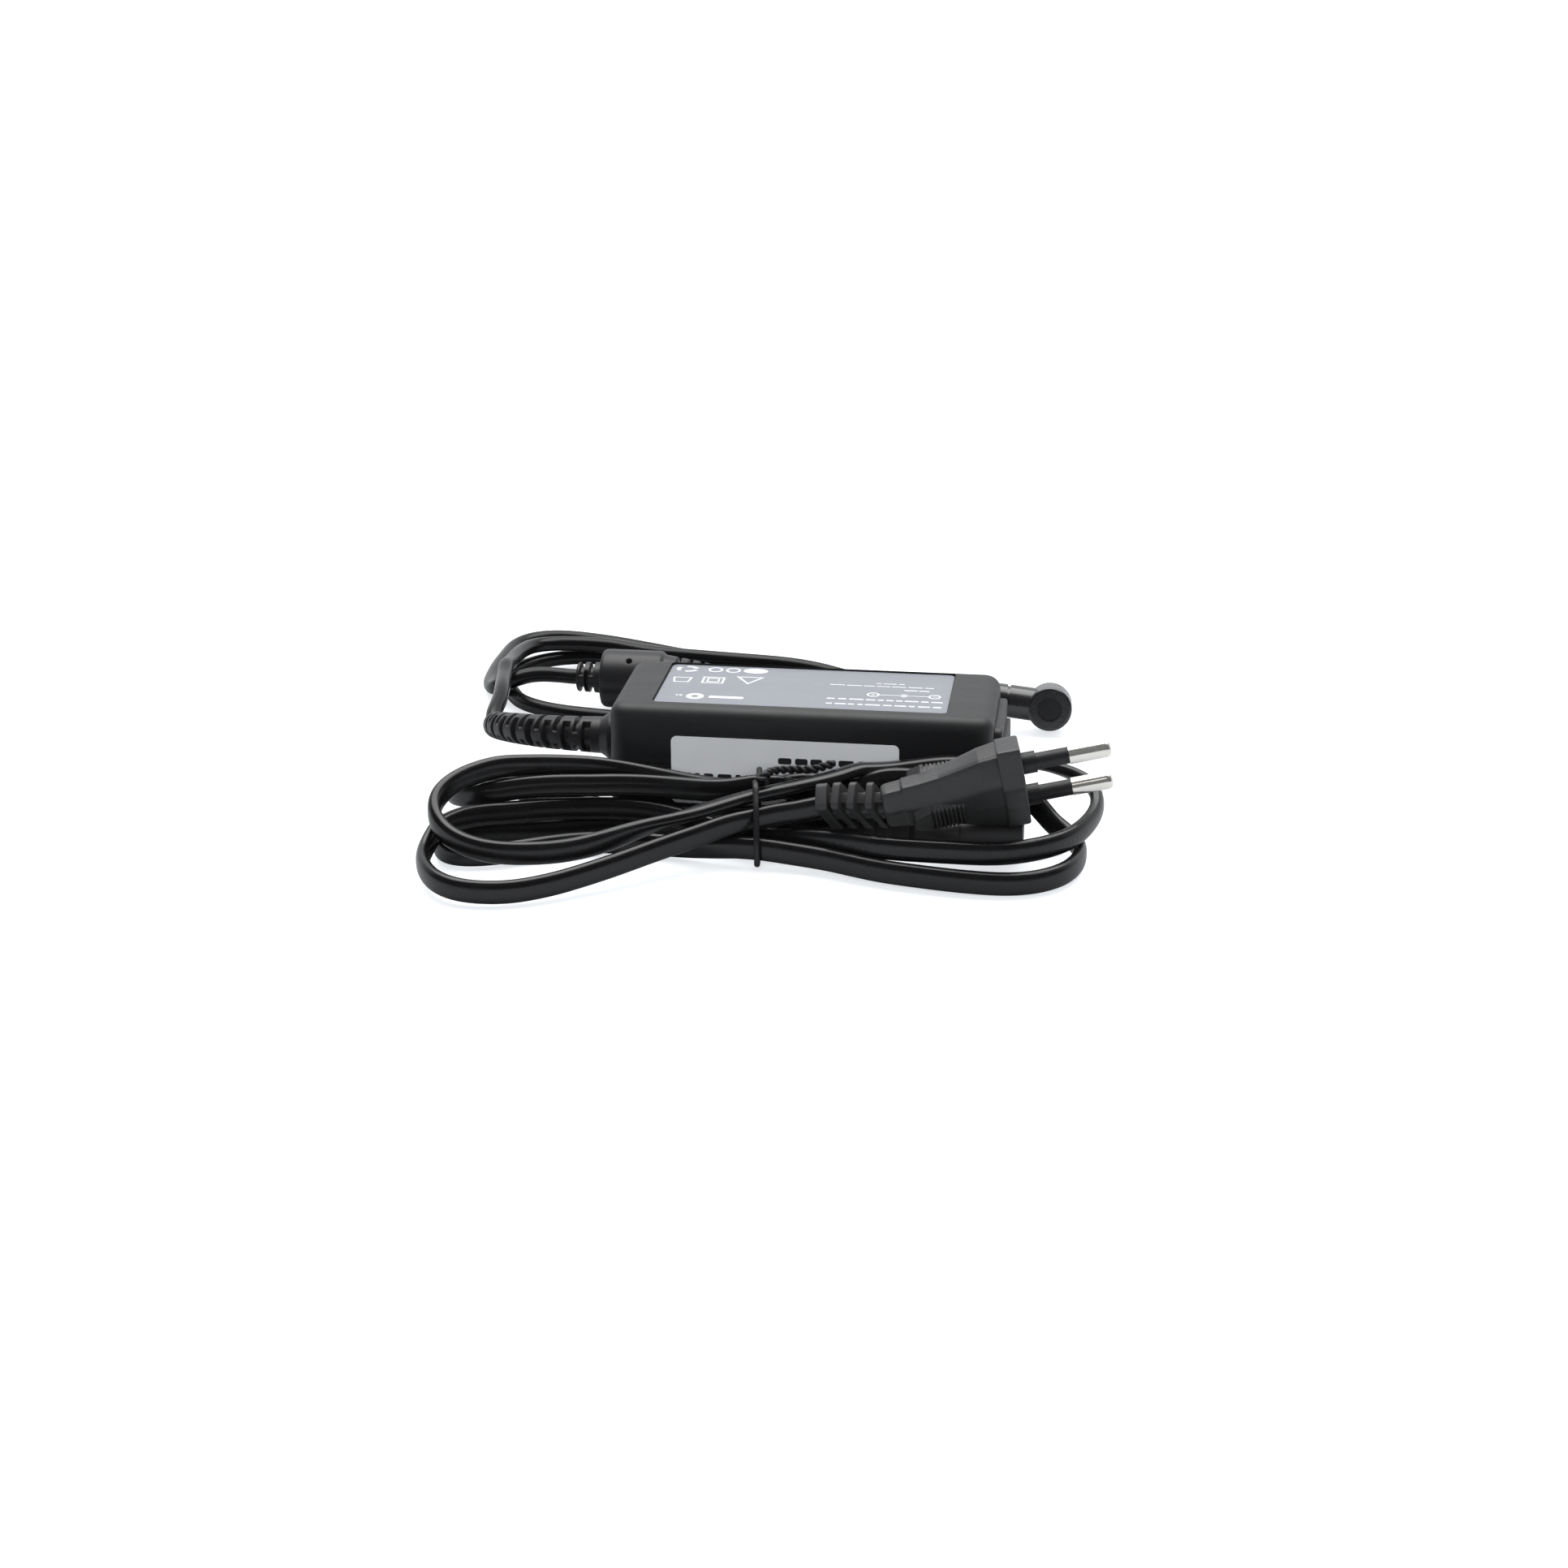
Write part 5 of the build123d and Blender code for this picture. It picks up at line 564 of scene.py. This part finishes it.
def ring_plate(outer, inner, plane, thick):
    """A thin closed frame between two outlines with equal numbers of points."""
    origin, X, Y, Z = (np.asarray(v, float) for v in plane)
    n = len(outer)
    verts = np.vstack([origin + q[:, :1] * X + q[:, 1:] * Y + z * Z for q, z in
                       ((outer, 0), (outer, thick), (inner, thick), (inner, 0))])
    faces = []
    for b in range(4):
        c = (b + 1) % 4
        for j in range(n):
            k = (j + 1) % n
            faces.append((b * n + j, b * n + k, c * n + k, c * n + j))
    return verts, faces


def make(name, mesh, material, body, replaces=(), sharp=None, uv=None):
    """A mesh object. Edges that turn by more than sharp degrees are kept crisp."""
    verts, faces = mesh
    me = bpy.data.meshes.new(name)
    me.from_pydata([tuple(v) for v in verts * MM], [], faces)
    me.update()
    bm = bmesh.new()
    bm.from_mesh(me)
    bmesh.ops.recalc_face_normals(bm, faces=bm.faces)
    if sharp is not None:
        limit = math.radians(sharp)
        for e in bm.edges:
            if len(e.link_faces) == 2 and e.calc_face_angle(0.0) > limit:
                e.smooth = False
    for f in bm.faces:
        f.smooth = True
    bm.to_mesh(me)
    bm.free()
    if uv is not None:
        layer = me.uv_layers.new(name="run")
        corner_verts = np.zeros(len(me.loops), np.int64)
        me.loops.foreach_get("vertex_index", corner_verts)
        layer.data.foreach_set("uv", np.asarray(uv, np.float32)[corner_verts].ravel())
    me.materials.append(MAT[material])
    obj = bpy.data.objects.new(name, me)
    bpy.context.scene.collection.objects.link(obj)
    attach(obj, body)
    if replaces:
        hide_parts(*replaces)


# ------------------------------------------------------------------ CAD pieces shown as they are
def dress_cad_pieces():
    slots = {s["node"]: s["material_slot"] for s in frame["record"]["subparts"]}
    for name, node in frame["nodes"].items():
        node.data.materials.clear()
        node.data.materials.append(MAT[slots[name]])
        for face in node.data.polygons:
            face.material_index = 0
    frame["nodes"]["dc_plug_body"].data.materials[0] = MAT["head_plastic"]


# ------------------------------------------------------------------ leads
# Mains lead inside the plug's ribbed tail: x y z
PLUG_ENTRY = points("""
27.6 -40.85 16.2, 24.9 -41.2 15.65, 22.0 -41.2 15.1, 19.0 -40.65 14.65, 15.8 -39.75 14.15,
12.4 -38.85 13.6, 9.4 -38.3 13.1""")
CONNECTOR_Y, CONNECTOR_Z = -26.5, 4.1
MAINS_THICK, MAINS_TALL = 3.0, 5.2

LOW_VOLTAGE_RADIUS = 1.95
LEAD_START = (-41.5, 0.0, 13.5)
FERRITE_Y, FERRITE_Z = 59.7, 7.55
HEAD_CENTRE = np.array([54.1, 55.4, 6.2])
HEAD_ARM = unit([-0.994, -0.012, 0.109])


def run_uv(run, around):
    """UVs of a swept lead: distance along it, and a value for each point of its outline."""
    return np.stack(np.broadcast_arrays(run[:, None], around[None]), -1).reshape(-1, 2)


def mains_lead():
    """Flat twin cable on its narrow edge, except where the top strand lies on its flat side."""
    controls = np.vstack([PLUG_ENTRY, MAINS, [(18.5, CONNECTOR_Y, CONNECTOR_Z),
                                              (21.0, CONNECTOR_Y, CONNECTOR_Z)]])
    line, run = curve(controls, step=1.1)
    side, up = upright(line)
    control_run = lengths(controls)
    index = np.arange(len(controls)) - len(PLUG_ENTRY)
    roll = 78.0 * smooth01((index - 111) / 10.0) * (1 - smooth01((index - 152) / 12.0))
    roll = np.interp(run, control_run * run[-1] / control_run[-1], roll)
    roll = np.radians(roll)[:, None]
    side, up = (side * np.cos(roll) - up * np.sin(roll), up * np.cos(roll) + side * np.sin(roll))
    profile = superellipse(MAINS_THICK, MAINS_TALL, power=2.45, n=36)
    # the marks' band is centred on one broad side; 1 keeps the other clear of it
    around = np.where(profile[:, 0] < 0, profile[:, 1] / MAINS_TALL, 1.0)
    make("mains_lead", sweep(line, side, up, profile), "cable_jacket", "mains_cord",
         ["mains_cable"], uv=run_uv(run, around))


def low_voltage_lead():
    """Round cable from the casing, through the ferrite sleeve, to the connector head's arm."""
    line, run = curve(np.vstack([
        LEAD_START, RELIEF, LOW_VOLTAGE,
        (-44.0, FERRITE_Y, FERRITE_Z), (-26.0, FERRITE_Y, FERRITE_Z),
        (-22.0, 59.65, 7.5), (-14.0, 59.3, 7.3), (-5.0, 58.5, 7.3), (4.0, 57.4, 7.6),
        (12.0, 56.3, 8.3), (19.0, 55.4, 9.1),
        [HEAD_CENTRE + HEAD_ARM * reach for reach in (30.5, 27, 20)]]), step=1.0)
    n = 28
    profile = ellipse(LOW_VOLTAGE_RADIUS, LOW_VOLTAGE_RADIUS, n)
    mesh = sweep(line, *carried(line, (0, 1, 0)), profile)
    make("low_voltage_lead", mesh, "cable_round", "adapter", ["dc_cable"],
         uv=run_uv(run, np.linspace(0, 1, n)))


# ------------------------------------------------------------------ slotted strain reliefs
SIDES, TOP_AND_BOTTOM = (0, 180), (90, -90)


def slotted(line, radius, slots, n, dent=None):
    """A turned body along a line, with slots cut in.

    slots: (position, half width, radius at the floor, angles, half angle)
    """
    s = lengths(line)
    angle = np.linspace(0, 360, n, endpoint=False)
    R = np.broadcast_to(radius(s)[:, None], (len(s), n))
    for position, half, core, places, spread in slots:
        cut = np.zeros_like(R)
        for place in places:
            along = window(s - position, half, soft=0.30)[:, None]
            cut = np.maximum(cut, along * window(wrap(angle - place), spread, soft=9.0)[None])
        R = R * (1 - cut) + np.minimum(core, R) * cut
    if dent is not None:
        R = dent(s, angle, R)
    c, d = np.cos(np.radians(angle)), np.sin(np.radians(angle))
    return sweep(line, *upright(line), np.stack([R * c, R * d], -1))


def lead_strain_relief():
    line, run = curve(RELIEF, step=0.17)
    end = run[-1]
    # distance from the casing, radius
    outline = [(0.0, 5.55), (0.25, 5.75), (0.5, 5.82), (2.75, 5.72), (3.0, 5.55), (4.75, 4.4),
               (5.0, 4.3), (7.0, 4.28), (7.2, 4.22), (end - 1.4, 3.22), (end - 0.6, 3.05),
               (end - 0.15, 2.7), (end, 2.25)]
    first, pitch = 8.05, 4.5
    slots = []
    for k in range(8):
        core = 2.75 - 0.05 * k
        at = first + pitch * k
        slots.append((at, 0.78 - 0.02 * k, core, SIDES, 60))
        slots.append((at + pitch / 2, 0.48, core, TOP_AND_BOTTOM, 66))
    mesh = slotted(line, lambda s: lookup(s, outline), slots, n=112)
    make("lead_strain_relief", mesh, "relief_plastic", "adapter",
         ["dc_strain_relief"], sharp=55)


# Ferrite sleeve's moulding: x, radius
FERRITE_OUTLINE = [
    (-66.6, 3.3), (-66.4, 3.65), (-66.1, 3.75), (-60.4, 3.95), (-60.25, 4.2), (-60.0, 6.4),
    (-59.85, 6.9), (-59.5, 7.22), (-59.0, 7.40), (-58.4, 7.45), (-45.2, 7.45), (-44.6, 7.25),
    (-44.2, 6.85), (-43.9, 6.55), (-28.0, 4.0), (-27.3, 3.75), (-27.0, 3.2)]


def ferrite_dent(s, angle, R):
    """A small round hole in the moulding's skin."""
    x, place, depth = -52.49, 124.7, 1.3
    distance = np.hypot(s[:, None] - (x - FERRITE_OUTLINE[0][0]),
                        np.radians(wrap(angle - place))[None] * R)
    return R - depth * (1 - smooth01((distance - 0.45) / 0.35))


def ferrite_sleeve_moulding():
    start, end = FERRITE_OUTLINE[0][0], FERRITE_OUTLINE[-1][0]
    n = 300
    line = np.c_[np.linspace(start, end, n), np.full(n, FERRITE_Y), np.full(n, FERRITE_Z)]
    slots = [(1.45, 0.52, 2.5, TOP_AND_BOTTOM, 64), (3.95, 0.52, 2.6, TOP_AND_BOTTOM, 64),
             (2.7, 0.30, 2.7, SIDES, 40)]
    first, pitch = 24.9, 2.9
    for k in range(5):
        at = first + pitch * k
        slots.append((at, 0.62, 5.0 - 0.42 * k, SIDES, 62))
        slots.append((at + pitch / 2, 0.50, 4.8 - 0.42 * k, TOP_AND_BOTTOM, 62))
    mesh = slotted(line, lambda s: lookup(s + start, FERRITE_OUTLINE), slots, n=150,
                   dent=ferrite_dent)
    make("ferrite_sleeve_moulding", mesh, "relief_plastic", "adapter",
         ["ferrite_overmould"], sharp=60)


# ------------------------------------------------------------------ wall plug moulding
# The plug's frame: centre of its front face, the way it points, its width and its thickness.
PLUG_CENTRE = np.array([51.4, -37.8, 21.1])
PLUG_AXIS = unit([0.972, 0.124, 0.1985])
PLUG_SIDE = square_to(np.array([0.041, 0.7465, -0.66]), PLUG_AXIS)
PLUG_UP = np.cross(PLUG_AXIS, PLUG_SIDE)

# Distances back from the front face: the flange and its step, then the body.
FLANGE_STATIONS = [0.0, 0.06, 0.2, 0.5, 0.8, 2.35, 2.5, 2.65, 4.3, 4.7, 4.92, 5.0, 5.02, 5.15, 5.5]
PLUG_STATIONS = np.r_[FLANGE_STATIONS, np.arange(5.7, 30.9, 0.14)]
FLANGE_END = 5.01
# Body: distance back, half size
BODY_CORNER = [(5.0, 15.5), (9, 14.7), (14, 12.2), (18, 10.3), (22, 9.1), (25.9, 8.4),
               (26.4, 7.6), (29.6, 7.0), (30.4, 6.6), (30.9, 5.6)]
BODY_FLAT = [(5.0, 12.2), (9, 10.8), (14, 7.9), (18, 5.9), (22, 5.1), (26, 4.7), (30.9, 4.0)]
BODY_THICK = [(5.0, 5.6), (9, 5.45), (14, 5.0), (20, 4.35), (25.9, 4.1), (26.4, 3.8),
              (29.6, 3.7), (30.4, 3.4), (30.9, 2.6)]

RIB_CENTRES = points("20.2 -40.9 14.83, 16.6 -40.0 14.28, 13.0 -39.0 13.7, 9.5 -38.35 13.1")
RIB_SIZES = [(1.6, 13.6), (1.7, 13.8), (1.8, 13.8), (2.6, 13.8)]  # thickness, length
RIB_WIDTH = 6.3


def hexagon(corner, flat, thick, soft):
    """Rounded hexagon from half sizes: side corners, flat faces and thickness."""
    P = divided([(corner, 0), (flat, thick), (-flat, thick),
                 (-corner, 0), (-flat, -thick), (flat, -thick)], (24, 48, 24, 24, 48, 24))
    shifts = np.arange(-soft, soft + 1)
    weights = np.exp(-0.5 * (shifts / (soft / 2.2)) ** 2)
    weights /= weights.sum()
    return sum(weight * np.roll(P, shift, 0) for shift, weight in zip(shifts, weights))


def quarter_round(x):
    return 1 - math.sqrt(1 - x ** 2)


def plug_section(back):
    if back > FLANGE_END:
        return hexagon(lookup(back, BODY_CORNER), lookup(back, BODY_FLAT),
                       lookup(back, BODY_THICK), soft=9)
    inset = 0.0
    if back < 0.5:
        inset = 0.55 * quarter_round(1 - back / 0.5)
    if back > 4.6:
        inset = 0.4 * quarter_round((back - 4.6) / 0.41)
    return hexagon(17.65 - inset * 1.2, 11.0 - inset * 0.4, 6.3 - inset, soft=5)


def plug_body():
    sections = np.array([plug_section(back) for back in PLUG_STATIONS])
    back = np.broadcast_to(PLUG_STATIONS[:, None], sections.shape[:2])
    across, through = sections[..., 0], sections[..., 1]
    depth = np.abs(through)
    # finger grips: a raised pad on each wide side, its outer face nearly level, grooved across
    pad = window(back - 17.2, half=3.55, soft=0.25) * window(across, half=5.2, soft=0.35)
    tail_start = smooth01((back - 20.6) / 0.25)
    tail_end = 1 - smooth01((back - 25.0 + 0.16 * np.abs(across - 1.0)) / 0.25)
    tail_half = 5.4 - 0.75 * np.clip(back - 21.5, 0, 4)
    raised = np.maximum(pad, tail_start * tail_end * window(across, tail_half, soft=0.35))
    level = np.maximum(5.55 + 0.035 * (back - 13.8), depth)
    pitch = 0.88
    groove = 0.48 * window((back - 13.9) % pitch - pitch / 2, half=0.15, soft=0.16)
    groove = groove * window(back - 17.55, half=3.7, soft=0.1)
    gripped = depth * (1 - raised) + level * raised - groove * pad
    depth = np.where(depth > 2.6, gripped, depth)
    # parting line: a fine raised seam round the plug at mid thickness
    across = across + np.sign(across) * np.exp(-((through / 0.16) ** 2)) * 0.10
    through = np.sign(through) * depth
    return skin(PLUG_CENTRE - PLUG_AXIS * back[..., None] + PLUG_SIDE * across[..., None]
                + PLUG_UP * through[..., None])


def plug_ribs():
    line = np.vstack([(23.5, -41.3, 15.4), RIB_CENTRES, (6.5, -38.1, 12.5)])
    steps = unit(np.diff(line, axis=0))
    for centre, along, (thick, long) in zip(RIB_CENTRES, unit(steps[:-1] + steps[1:]), RIB_SIZES):
        side = square_to(PLUG_SIDE, along)
        plane = (centre - along * thick / 2, side, np.cross(along, side), along)
        yield plate(rounded(long, RIB_WIDTH, 1.3, 6), plane, thick, edge=0.35, steps=4)


def plug_tail():
    """Two rails and the inner sleeve that carry the ribs."""
    line, _ = curve(np.vstack([(24.6, -41.35, 15.55), RIB_CENTRES[:3], (9.2, -38.3, 13.05)]), 0.6)
    side, up = carried(line, PLUG_SIDE)
    for offset in (-4.5, 4.5):
        yield sweep(line + side * offset, side, up, rounded(0.9, 2.4, 0.3, 3))
    yield sweep(line, side, up, rounded(5.0, 5.4, 1.6, 5))


def wall_plug_moulding():
    make("wall_plug_moulding", join([plug_body(), *plug_ribs(), *plug_tail()]), "plug_plastic",
         "mains_cord", ["wall_plug_body"], sharp=38)


# ------------------------------------------------------------------ the tie
def twist_tie():
    """A slightly uneven loop, and two ends twisted round each other."""
    line, _ = curve(TIE_LOOP, step=0.35)
    swell = 1 + 0.05 * np.sin(np.arange(len(line)) * 0.21)
    profile = ellipse(0.66, 0.60, 18) * swell[:, None, None]
    parts = [sweep(line, *carried(line, (1, 0, 0)), profile)]
    strand_radius, twist_pitch = 0.50, 3.6
    line, run = curve(TIE_ENDS, step=0.25)
    side, up = carried(line, (0, 0, 1))
    for phase in (0.0, math.pi):
        turn = (2 * math.pi * run / twist_pitch + phase)[:, None]
        strand = line + strand_radius * (np.cos(turn) * side + np.sin(turn) * up)
        parts.append(sweep(strand, *carried(strand, (0, 0, 1)),
                           ellipse(strand_radius, strand_radius, 14)))
    make("twist_tie", join(parts), "tie_wire", "mains_cord", ["cable_tie"], sharp=60)


# ------------------------------------------------------------------ generic print
INK = 0.035
INK_SINK = 0.01  # how far the ink starts below the printed face
LABEL_TOP = 26.47
STICKER_FRONT = -18.12
# Print planes: origin, x, y, z
LABEL = ((0, 0, LABEL_TOP - INK_SINK), (1, 0, 0), (0, 1, 0), (0, 0, 1))
STICKER = ((0, STICKER_FRONT + INK_SINK, 0), (1, 0, 0), (0, 0, 1), (0, -1, 0))


def ink(outline, plane=LABEL, edge=0.008):
    return plate(outline, plane, INK, edge, steps=1)


def bar(x0, x1, y, height, plane=LABEL):
    radius = min(height, x1 - x0) * 0.3
    return ink(rounded(x1 - x0, height, radius, 3, (x0 + x1) / 2, y), plane)


def words(x0, x1, y, height, seed, gap, plane=LABEL):
    """A line of greeked words: short bars of uneven length."""
    rng = np.random.default_rng(seed)
    x = x0
    while x < x1 - 0.6:
        width = float(rng.uniform(1.1, 3.6))
        end = min(x + width, x1)
        if end - x > 0.5:
            yield bar(x, end, y, height, plane)
        x = end + gap * float(rng.uniform(0.7, 1.2))


def ring(x, y, inner, outer, n):
    return ring_plate(ellipse(outer, outer, n, x, y), ellipse(inner, inner, n, x, y), LABEL, INK)


def polygon_frame(outer, inner, cuts):
    counts = [cuts] * len(outer)
    return ring_plate(divided(outer, counts), divided(inner, counts), LABEL, INK)


def rectangle_frame(x0, y0, x1, y1, border):
    def corners(b):
        return [(x0 + b, y0 + b), (x1 - b, y0 + b), (x1 - b, y1 - b), (x0 + b, y1 - b)]
    return polygon_frame(corners(0), corners(border), 6)


def stroke(start, end):
    start, end = np.array(start, float), np.array(end, float)
    along = unit(end - start)
    half = np.array([-along[1], along[0]]) * 0.3 / 2
    return ink(np.array([start + half, start - half, end - half, end + half]), edge=0.006)


def bent_stroke(x, y, degrees):
    """Part of an oval ring, 80 degrees long."""
    angle = np.radians(np.linspace(degrees, degrees + 80, 12))
    back = angle[::-1]
    return ink(np.vstack([np.c_[x + 2.7 * np.cos(angle), y + 2.1 * np.sin(angle)],
                          np.c_[x + 1.7 * np.cos(back), y + 1.25 * np.sin(back)]]), edge=0.006)


def label_print():
    sign_y, minus_x, dot_x, plus_x = -0.9, 29.2, 22.2, 15.1
    marks = [
        # back row: three bent strokes in a ring, two open rounds, a filled oval
        *(bent_stroke(-30.0, 12.4, degrees) for degrees in (20, 140, 260)),
        ring(-23.4, 12.6, 1.25, 1.75, 36),
        ring(-19.2, 12.6, 1.25, 1.75, 36),
        ink(ellipse(2.9, 1.75, 36, -13.9, 12.7)),
        # middle row: tub, rectangle in a rectangle, triangle
        polygon_frame([(-31.9, 2.6), (-28.3, 2.6), (-27.8, 6.2), (-32.4, 6.2)],
                      [(-31.5, 3.0), (-28.7, 3.0), (-28.3, 5.8), (-31.9, 5.8)], 6),
        rectangle_frame(-25.4, 2.5, -20.2, 7.1, border=0.5),
        rectangle_frame(-24.3, 3.5, -21.3, 6.1, border=0.4),
        polygon_frame([(-17.8, 8.2), (-11.2, 8.2), (-14.5, 2.8)],
                      [(-16.9, 7.75), (-12.1, 7.75), (-14.5, 3.75)], 8),
        # front left: a thick ring between bars
        ring(-25.2, -7.2, 0.85, 2.05, 40),
        bar(-22.0, -14.0, -7.2, 1.5),
        bar(-29.7, -29.2, -6.8, 0.8),
        bar(-28.9, -28.2, -6.8, 0.8),
        # right: lines of words round the polarity sign
        *words(15.0, 22.0, 7.2, 0.42, seed=3, gap=0.5),
        *words(4.5, 28.6, 5.2, 0.42, seed=4, gap=0.5),
        *words(21.9, 28.0, 2.9, 0.6, seed=5, gap=0.3),
        ring(plus_x, sign_y, 1.05, 1.5, 32),
        ring(minus_x, sign_y, 1.0, 1.45, 32),
        ink(ellipse(0.95, 0.95, 28, dot_x, sign_y)),
        stroke((plus_x + 1.5, sign_y), (minus_x - 1.5, sign_y)),
        stroke((plus_x - 0.5, sign_y), (plus_x + 0.5, sign_y)),
        stroke((plus_x, sign_y - 0.5), (plus_x, sign_y + 0.5)),
        stroke((minus_x - 0.5, sign_y), (minus_x + 0.5, sign_y)),
        *words(4.8, 31.3, -4.7, 0.75, seed=8, gap=0.6),
        *words(5.0, 31.3, -8.2, 0.75, seed=11, gap=0.6)]
    make("label_print", join(marks), "print_white", "adapter", sharp=40)


def sticker_print():
    marks = [*words(-4.6, 18.2, 15.6, 1.5, seed=21, gap=0.8, plane=STICKER),
             *words(-26.4, 18.0, 11.1, 1.5, seed=22, gap=0.8, plane=STICKER)]
    make("sticker_print", join(marks), "print_black", "adapter", sharp=40)


# ------------------------------------------------------------------ stage, light and camera
def floor_material():
    """Pale to the camera, darker to the object, so that the black surfaces keep their depth."""
    material = plastic("floor", base=(0.48, 0.49, 0.50), rough=0.55, spec=0.2, grain=0.05,
                       grain_mm=2.0, mottle=0.01, wear=0.03)
    tree = material.node_tree
    path = tree.nodes.new("ShaderNodeLightPath").outputs
    tone = mix_colours(tree, (0.16, 0.165, 0.17), (0.44, 0.45, 0.46), path["Is Glossy Ray"])
    dull = add_node(tree, "ShaderNodeBsdfDiffuse", {"Color": tone})
    glow = add_node(tree, "ShaderNodeEmission", {"Color": (0.95, 0.97, 1.0, 1), "Strength": 0.70})
    surface = tree.nodes["Principled BSDF"]
    seen = add_node(tree, "ShaderNodeAddShader", {0: surface.outputs[0], 1: glow.outputs[0]})
    pick = add_node(tree, "ShaderNodeMixShader", {
        0: path["Is Camera Ray"], 1: dull.outputs[0], 2: seen.outputs[0]})
    tree.links.new(pick.outputs[0], tree.nodes["Material Output"].inputs[0])
    return material


def add_floor():
    z = -0.0004
    mesh = bpy.data.meshes.new("floor")
    mesh.from_pydata([(-5, -4, z), (5, -4, z), (5, 8, z), (-5, 8, z)], [], [(0, 1, 2, 3)])
    mesh.materials.append(floor_material())
    floor = bpy.data.objects.new("floor", mesh)
    bpy.context.scene.collection.objects.link(floor)


def area_light(name, at, target, size, watts, colour=(1, 1, 1), glossy=False):
    data = bpy.data.lights.new(name, "AREA")
    data.shape = "RECTANGLE"
    data.size, data.size_y = size
    data.energy = watts
    data.color = colour
    light = bpy.data.objects.new(name, data)
    light.location = at
    light.rotation_mode = "QUATERNION"
    light.rotation_quaternion = (Vector(target) - Vector(at)).to_track_quat("-Z", "Y")
    light.visible_glossy = glossy
    bpy.context.scene.collection.objects.link(light)


def add_lights():
    area_light("overhead", at=(0.0, 0.25, 1.0), target=(0, 0, 0), size=(1.5, 0.9), watts=17.0,
               glossy=True)
    area_light("back", at=(0.0, 3.0, 1.6), target=(0, 0, 0.05), size=(4.0, 1.6), watts=60.0)
    area_light("front", at=(0.1, -1.3, 0.75), target=(0, 0, 0.02), size=(1.6, 0.8), watts=14.0,
               colour=(0.95, 0.975, 1.0))
    for name, x in (("left", -1.1), ("right", 1.1)):
        area_light(name, at=(x, -0.1, 0.5), target=(0, 0, 0.02), size=(0.7, 0.7), watts=1.6,
                   colour=(0.93, 0.97, 1.0))


def add_world():
    """Bright towards the back and dark towards the front, but even to the camera."""
    world = bpy.data.worlds.new("studio")
    world.use_nodes = True
    tree = world.node_tree
    tree.nodes.clear()
    output = tree.nodes.new("ShaderNodeOutputWorld")
    coords = tree.nodes.new("ShaderNodeTexCoord").outputs["Generated"]
    split = add_node(tree, "ShaderNodeSeparateXYZ", {0: coords})
    fade = ramp(tree, split.outputs[1], source=(-0.1, 0.7), target=(0.03, 1.0))
    path = tree.nodes.new("ShaderNodeLightPath").outputs
    strength = calculate(tree, "MAXIMUM", fade, path["Is Camera Ray"])
    background = add_node(tree, "ShaderNodeBackground", {
        "Color": (0.97, 0.985, 1.0, 1), "Strength": strength})
    tree.links.new(background.outputs[0], output.inputs[0])
    bpy.context.scene.world = world


def add_camera():
    data = bpy.data.cameras.new("camera")
    data.sensor_width = 36.0
    data.lens = 60.316770186
    data.clip_start, data.clip_end = 0.05, 20
    camera = bpy.data.objects.new("camera", data)
    forward = unit([-0.1211, 0.9284, -0.3512])
    right = unit([0.9916, 0.1293, 0.0])
    placement = np.eye(4)
    placement[:3, :3] = np.c_[right, np.cross(right, forward), -forward]
    placement[:3, 3] = 0.0686, -0.5689, 0.2185
    camera.matrix_world = Matrix(placement.tolist())
    bpy.context.scene.collection.objects.link(camera)
    bpy.context.scene.camera = camera


dress_cad_pieces()
mains_lead()
low_voltage_lead()
lead_strain_relief()
ferrite_sleeve_moulding()
wall_plug_moulding()
twist_tie()
label_print()
sticker_print()
add_floor()
add_lights()
add_world()
add_camera()

view = bpy.context.scene.view_settings
view.view_transform = "Standard"
view.look = "None"
view.exposure = 0.0
